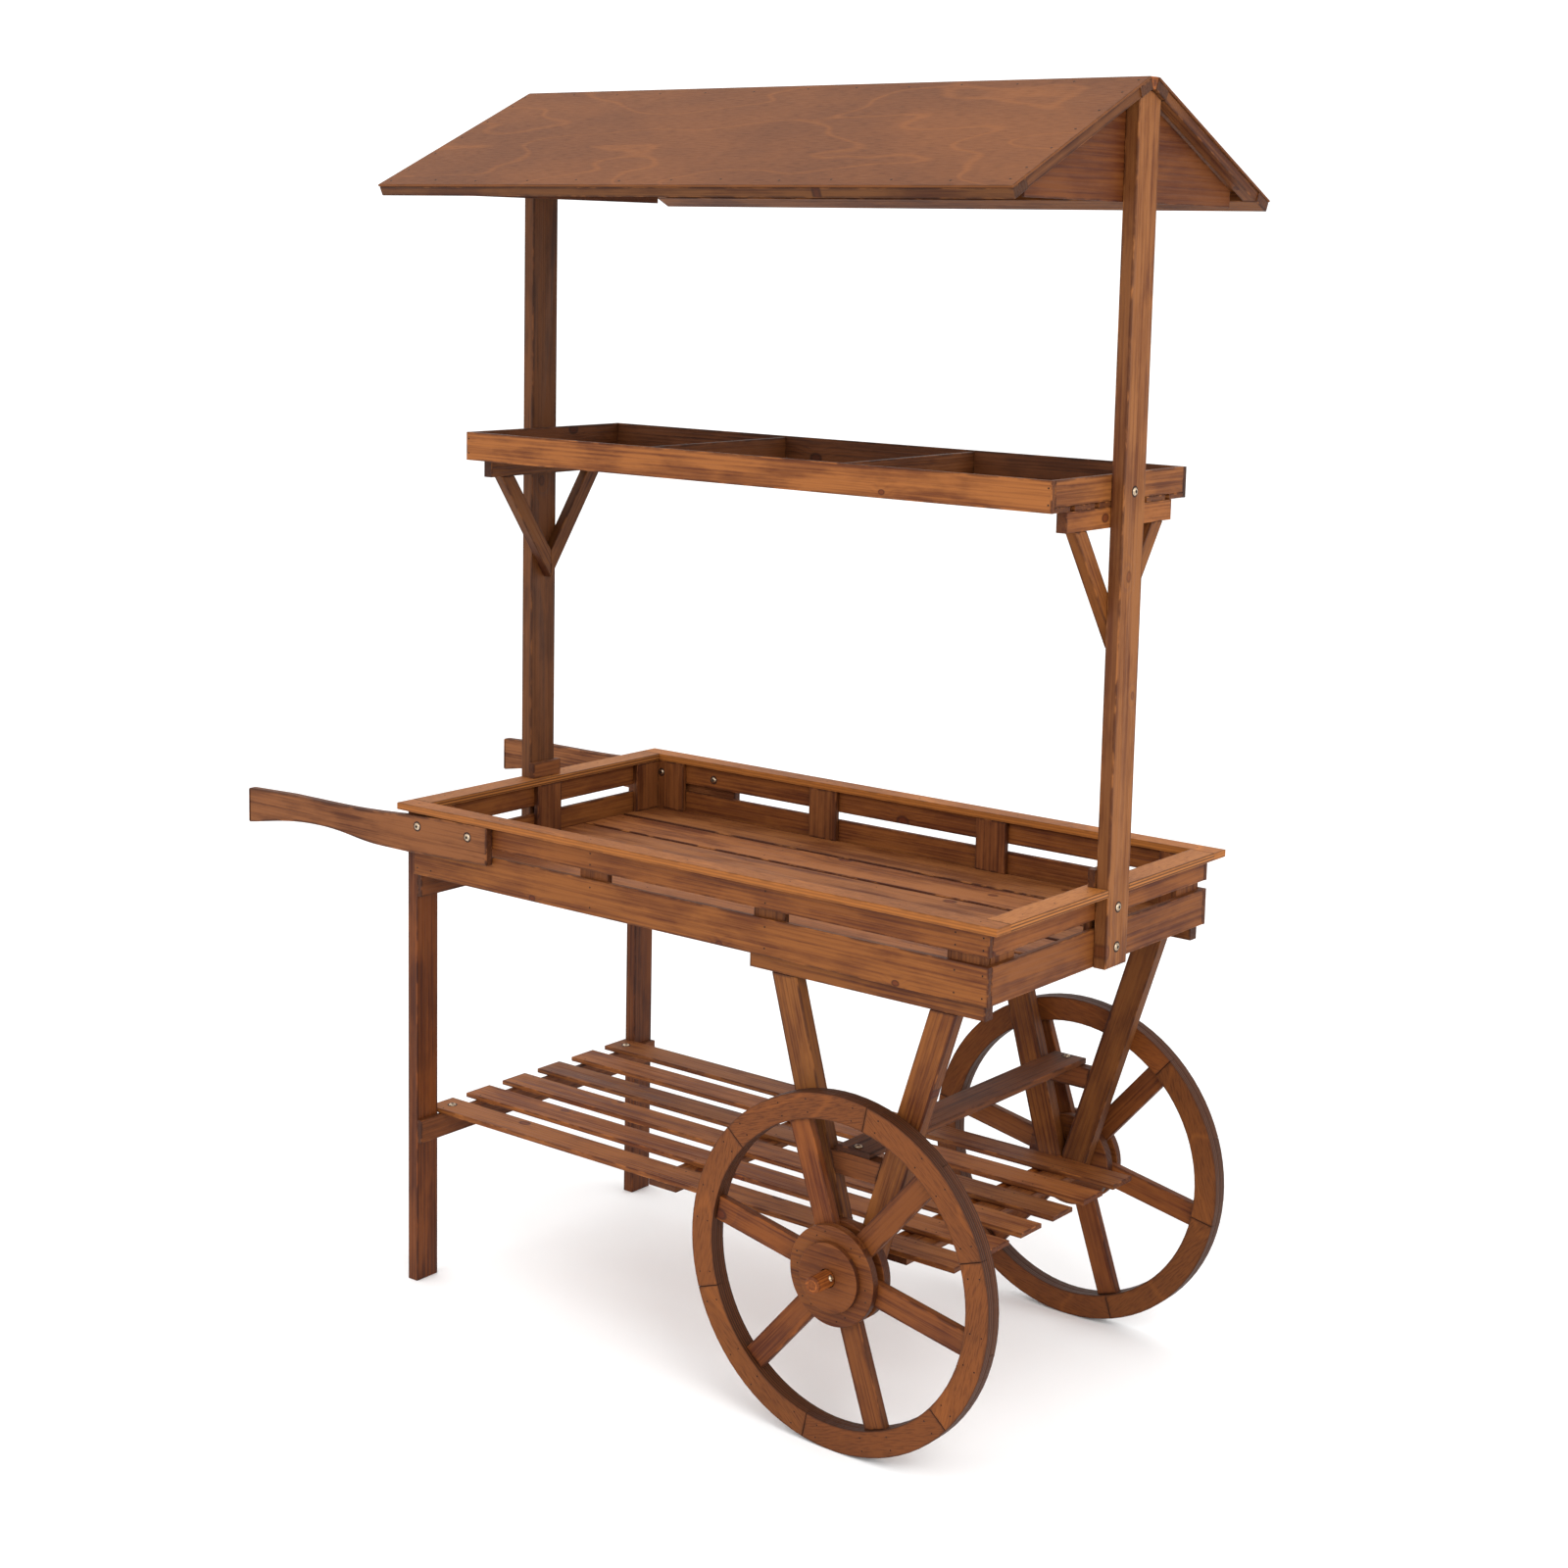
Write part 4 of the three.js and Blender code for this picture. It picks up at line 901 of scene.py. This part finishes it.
for name, side in (("front", -1), ("rear", 1)):
    sheet = on_slope(side, (ROOF_LEFT - 1, ROOF_RIGHT + 1), (0, SLOPE_LONG), (-SHEET_THICK, 0), ply=True)
    made(f"roof_ply_{name}", [sheet], roof_ply, [f"roof_sheet_{name}"])
    strip = on_slope(side, (ROOF_LEFT, ROOF_RIGHT), (0, RIDGE_WIDE), FRAME_DEPTH)
    made(f"ridge_strip_{name}", [strip], roof_wood, [f"ridge_batten_{name}"])
    strip = on_slope(side, (ROOF_LEFT, ROOF_RIGHT), (SLOPE_LONG - EAVE_WIDE, SLOPE_LONG - 1), FRAME_DEPTH)
    made(f"eave_strip_{name}", [strip], roof_wood, [f"eave_batten_{name}"])
    right_rafter = ROOF_RIGHT - RAFTER_INSET - RAFTER_WIDE
    for hand, left in (("left", ROOF_LEFT + RAFTER_INSET), ("right", right_rafter)):
        reach = (RIDGE_WIDE + GAP, SLOPE_LONG - EAVE_WIDE - GAP)
        rafter = on_slope(side, (left, left + RAFTER_WIDE), reach, FRAME_DEPTH, math.pi / 2)
        node = f"rafter_{hand}_{name}"
        made(f"sloping_{hand}_{name}", [rafter], roof_wood, [node])
low, high = bounds_of("ridge_beam")
narrow = RIDGE_HALF - (SHEET_THICK + FRAME_THICK) * math.sin(ROOF_LEAN) - 2 * GAP
outline = [(-narrow, low[2]), (narrow, low[2]), (high[1], high[2]), (low[1], high[2])]
ridge = slab(outline, low[0], high[0], "yzx", None, RIDGE_EASE)
made("ridge_pole", [ridge], dowel_wood, ["ridge_beam"])
for name in ("left", "right"):
    low, high = bounds_of(f"gable_panel_{name}")
    panel = slab(pointed(low, high), low[0], high[0], "yzx", 0.0, PANEL_EASE)
    made(f"gable_{name}", [panel], gable_wood, [f"gable_panel_{name}"])

# Bolts: zinc-plated screws with a low domed head and a hexagon socket, over a dark ring of wood:
# painted shade in the sunk hollow round each head.
SINK_RADIUS, SOCKET_HALF, SOCKET_UP = 8.6, 2.5, 2.3
HEAD_LEVELS = np.array([-0.5, 0.2, 0.7, 1.6, 2.3, 2.6, 2.6, 2.5, -0.4])
HEAD_REACHES = np.array([6.2, 6.2, 6.0, 5.2, 4.2, 3.4, 3.0, 0, 0])
POST_FACES = ((-420, -1), (780, 1))
POST_BOLTS_UP = (751, 812, 1433)
HANDLE_BOLTS = ((-372, 293), (-255, 303))
HANDLE_FACE, HANDLE_BOLTS_UP = 328, 809
LEG_SCREW, TIE_SCREW = (-392, 225.5, 297), (WHEEL_RIGHT, 290, 457.3)
PIN_OUT, PIN_REACH, PIN_LEAN, PIN_SCALE = 367, (12.4, 5.6), math.radians(25), 0.75


def metal(name, light, dark, rough):
    """Plated steel, mottled between two colours by a fine noise, with faint scratches."""
    material = bpy.data.materials.new(name)
    material.use_nodes = True
    tree = material.node_tree
    place = add(tree, "ShaderNodeTexCoord").outputs["Object"]
    mottle = noise(tree, stretched(tree, place, 420.0, 420.0, 420.0), 3.0)
    scratch = noise(tree, stretched(tree, place, 2600.0, 300.0, 2600.0), 2.0)
    colour = blend(tree, ramp(tree, mottle, 0.3, 0.7), light, dark)
    gloss = maths(tree, "MULTIPLY_ADD", scratch, 0.25, rough)
    finished(tree, colour, gloss, scratch, 0.00005)
    tree.nodes["Principled BSDF"].inputs["Metallic"].default_value = 1.0
    return material


plated = metal("plated_steel", (0.62, 0.5, 0.37, 1), (0.3, 0.22, 0.14, 1), 0.28)
sink_shade = stained_softwood("sink_shade_wood", dye(58, 32, 19), dye(33, 17, 9), 0.2, 0.004, 0.0)
nail_steel = metal("nail_steel", (0.05, 0.035, 0.028, 1), (0.02, 0.014, 0.012, 1), 0.5)


def square_to(axis):
    """An axis made one long, then two directions square to it and to each other."""
    axis = np.asarray(axis, float) / np.linalg.norm(axis)
    aside = np.cross(axis, (0.3, 0.9, 0.2))
    aside /= np.linalg.norm(aside)
    return axis, aside, np.cross(axis, aside)


def sink_shade_ring(place, axis, scale=1.0):
    """A thin round of stained wood, proud of the board by a hair, that shows as a dark ring of painted
    shade round the sunk head.
    """
    axis, aside, other = square_to(axis)
    ring = circle(SINK_RADIUS * scale, 24)
    return slab(ring, -1, 0.2, [aside, other, axis], tone=1, ease=0.2, origin=place)


def capped_rings(steps, count):
    """Faces that join each ring of points to the next, then close the first ring and the last."""
    i = np.arange(steps)
    j = np.roll(i, -1)
    k = np.arange(count - 1)[:, None] * steps
    walls = np.stack([k + i, k + j, k + j + steps, k + i + steps], 2).reshape(-1, 4).tolist()
    return walls + [i[::-1].tolist(), (i + (count - 1) * steps).tolist()]


def screw_head(place, axis, scale=1.0):
    """A screw head as rings carried out along its axis: skirt, dome, brim of the socket, then the
    socket's hexagon, whose radius is its half width over the cosine of the angle from the nearest flat."""
    steps = 24
    a = np.arange(steps) * 2 * math.pi / steps
    hexagon = SOCKET_HALF / np.cos((a + math.pi / 6) % (math.pi / 3) - math.pi / 6)
    rings = np.repeat(HEAD_REACHES[:, None], steps, 1)
    rings[-2:] = hexagon
    axis, aside, other = square_to(axis)
    flat = rings[:, :, None] * (np.cos(a)[:, None] * aside + np.sin(a)[:, None] * other)[None]
    verts = (flat + HEAD_LEVELS[:, None, None] * axis) * scale + np.asarray(place, float)
    return verts.reshape(-1, 3), capped_rings(steps, len(HEAD_LEVELS))


NAIL_RINGS = ((1, -0.4), (1, 0.12), (0.7, 0.25))


def nail_head(place, axis, radius=1.5):
    """A small round nail head, a shallow dome of two rings, barely proud of the wood."""
    steps = 8
    a = np.arange(steps) * 2 * math.pi / steps
    axis, aside, other = square_to(axis)
    spin = np.cos(a)[:, None] * aside + np.sin(a)[:, None] * other
    rings = [spin * radius * r + axis * h for r, h in NAIL_RINGS]
    return np.concatenate(rings) + np.asarray(place, float), capped_rings(steps, len(NAIL_RINGS))


def hardware(name, heads, material, body="frame"):
    """Many small heads as one object."""
    verts, faces, start = [], [], 0
    for points, polygons in heads:
        verts.append(points)
        faces += [[v + start for v in f] for f in polygons]
        start += len(points)
    mesh = bpy.data.meshes.new(name)
    mesh.from_pydata(np.concatenate(verts) * MM, [], faces)
    mesh.shade_smooth()
    mesh.set_sharp_from_angle(angle=math.radians(38))
    carried(mesh, material, body)


bolts = []
for x, side in POST_FACES:
    for z in POST_BOLTS_UP:
        bolts.append(((x, 0, z), (side, 0, 0)))
for side in (-1, 1):
    for x, _ in HANDLE_BOLTS:
        bolts.append(((x, side * HANDLE_FACE, HANDLE_BOLTS_UP), (0, side, 0)))
    for x, y, z in (LEG_SCREW, TIE_SCREW):
        bolts.append(((x, side * y, z), (0, 0, 1)))
    for x, inner_end in HANDLE_BOLTS:
        bolts.append(((x, side * inner_end, HANDLE_BOLTS_UP), (0, -side, 0), 0.9))
hardware("bolts", [screw_head(*bolt) for bolt in bolts], plated)
made("sink_shade_rings", [sink_shade_ring(*bolt) for bolt in bolts], sink_shade)
# A dark disc inside each hexagon socket: painted shade in the socket.
socket_shades = []
for place, axis, *_ in bolts:
    socket_shades.append(nail_head(np.asarray(place) + SOCKET_UP * np.asarray(axis), axis, SOCKET_HALF))
hardware("bolt_socket_shades", socket_shades, nail_steel)
pins = []
pin_axis = (math.cos(PIN_LEAN), 0, math.sin(PIN_LEAN))
for side in (-1, 1):
    place = (WHEEL_RIGHT + PIN_REACH[0], side * PIN_OUT, WHEEL_UP + PIN_REACH[1])
    pins.append(screw_head(place, pin_axis, PIN_SCALE))
hardware("axle_pins", pins, plated)

# Nails: small dark heads near the ends of the boards, over the bearers, in rows along the roof's
# battens and round the wheels. A face is the surface they stand on; rows, lines and lists are places.
WALL_ROWS = (733, 766, 803, 821)
LONG_WALL_FACE, LONG_WALL_NAILS = 312, (-388, -356, 2, 356, 700, 748)
HANDLE_END_FACE, WHEEL_END_FACE = -397.4, 757.4
SHELF_FACE, SHELF_ROWS, SHELF_NAILS = 190, (1423, 1447), (-392, 752)
RIM_TOP, RIM_NAIL, RIM_LINE = 843, 1.3, 309
RIM_NAILS, RIM_END_NAILS, RIM_END_LINES = (-387, -200, 0, 200, 400, 600, 740), (60, 150, 235), (-402, 762)
SLAT_TOP, SLAT_EDGE, SLAT_NAILS, LEG_RAIL_NAIL = 297, 18, (97, 122, 556, 575), -392
PLANK_TOP, PLANK_START, PLANK_PITCH, PLANK_NAILS = 742, -302.7, 101.5, (24, 76)
BOARD_NAIL, ROOF_NAIL, WHEEL_NAIL = 1.4, 2.0, 1.3
FELLOE_NAIL_FACE, FELLOE_NAILS, FELLOE_NAIL_TURNS = 344, (244, 264), (-0.09, 0.09, -0.42, 0.42)
DISC_NAIL_FACE, DISC_NAILS = 350.8, ((63, 0.12), (68, -0.15))
nails = []
for side in (-1, 1):
    for z in WALL_ROWS:
        for x in LONG_WALL_NAILS:
            nails.append(nail_head((x, side * LONG_WALL_FACE, z), (0, side, 0)))
        nails.append(nail_head((HANDLE_END_FACE, side * 14, z), (-1, 0, 0)))
        for y in (14, 262, 294):
            nails.append(nail_head((WHEEL_END_FACE, side * y, z), (1, 0, 0)))
    for x in SHELF_NAILS:
        for z in SHELF_ROWS:
            nails.append(nail_head((x, side * SHELF_FACE, z), (0, side, 0)))
    for x in RIM_NAILS:
        nails.append(nail_head((x, side * RIM_LINE, RIM_TOP), (0, 0, 1), RIM_NAIL))
    for y in RIM_END_NAILS:
        for x in RIM_END_LINES:
            nails.append(nail_head((x, side * y, RIM_TOP), (0, 0, 1), RIM_NAIL))
    for k in range(SLATS // 2):
        for edge in (-SLAT_EDGE, SLAT_EDGE):
            y = side * (k + 0.5) * SLAT_PITCH + edge
            for x in SLAT_NAILS:
                nails.append(nail_head((x, y, SLAT_TOP), (0, 0, 1), BOARD_NAIL))
            nails.append(nail_head((LEG_RAIL_NAIL, y + edge * 0.2, SLAT_TOP), (0, 0, 1), BOARD_NAIL))
for k in range(FLOOR_PLANKS):
    for x in FLOOR_BEARERS:
        for edge in PLANK_NAILS:
            y = PLANK_START + k * PLANK_PITCH + edge
            nails.append(nail_head((x, y, PLANK_TOP), (0, 0, 1), BOARD_NAIL))
for side in (-1, 1):
    start, down, up = slope(side)
    for x in np.linspace(ROOF_LEFT + 14, ROOF_RIGHT - 14, 13):
        for reach in (RIDGE_WIDE / 2, SLOPE_LONG - EAVE_WIDE / 2):
            spot = start + down * (reach + chance.uniform(-4, 4)) + (x + chance.uniform(-8, 8), 0, 0)
            nails.append(nail_head(spot, up, ROOF_NAIL))
    for x in (ROOF_LEFT + 13, ROOF_RIGHT - 13):
        for reach in np.linspace(60, 325, 5):
            nails.append(nail_head(start + down * reach + (x, 0, 0), up, ROOF_NAIL))
hardware("nails", nails, nail_steel)


def wheel_nail(side, radius, turn, face):
    """A nail in the outer face of a wheel, by its distance and angle round the axle."""
    x, z = WHEEL_RIGHT + radius * math.cos(turn), WHEEL_UP + radius * math.sin(turn)
    return nail_head((x, side * face, z), (0, side, 0), WHEEL_NAIL)


for name, side in (("front", -1), ("rear", 1)):
    pegs = []
    for k in range(FELLOES):
        joint = math.radians(FACE_JOINT + 60 * k)
        for turn in FELLOE_NAIL_TURNS:
            for radius in FELLOE_NAILS:
                pegs.append(wheel_nail(side, radius, joint + turn, FELLOE_NAIL_FACE))
        spoke = math.radians(SPOKE_TURN + 60 * k)
        for radius, turn in DISC_NAILS:
            pegs.append(wheel_nail(side, radius, spoke + turn, DISC_NAIL_FACE))
    hardware(f"rim_nails_{name}", pegs, nail_steel, f"wheel_{name}")
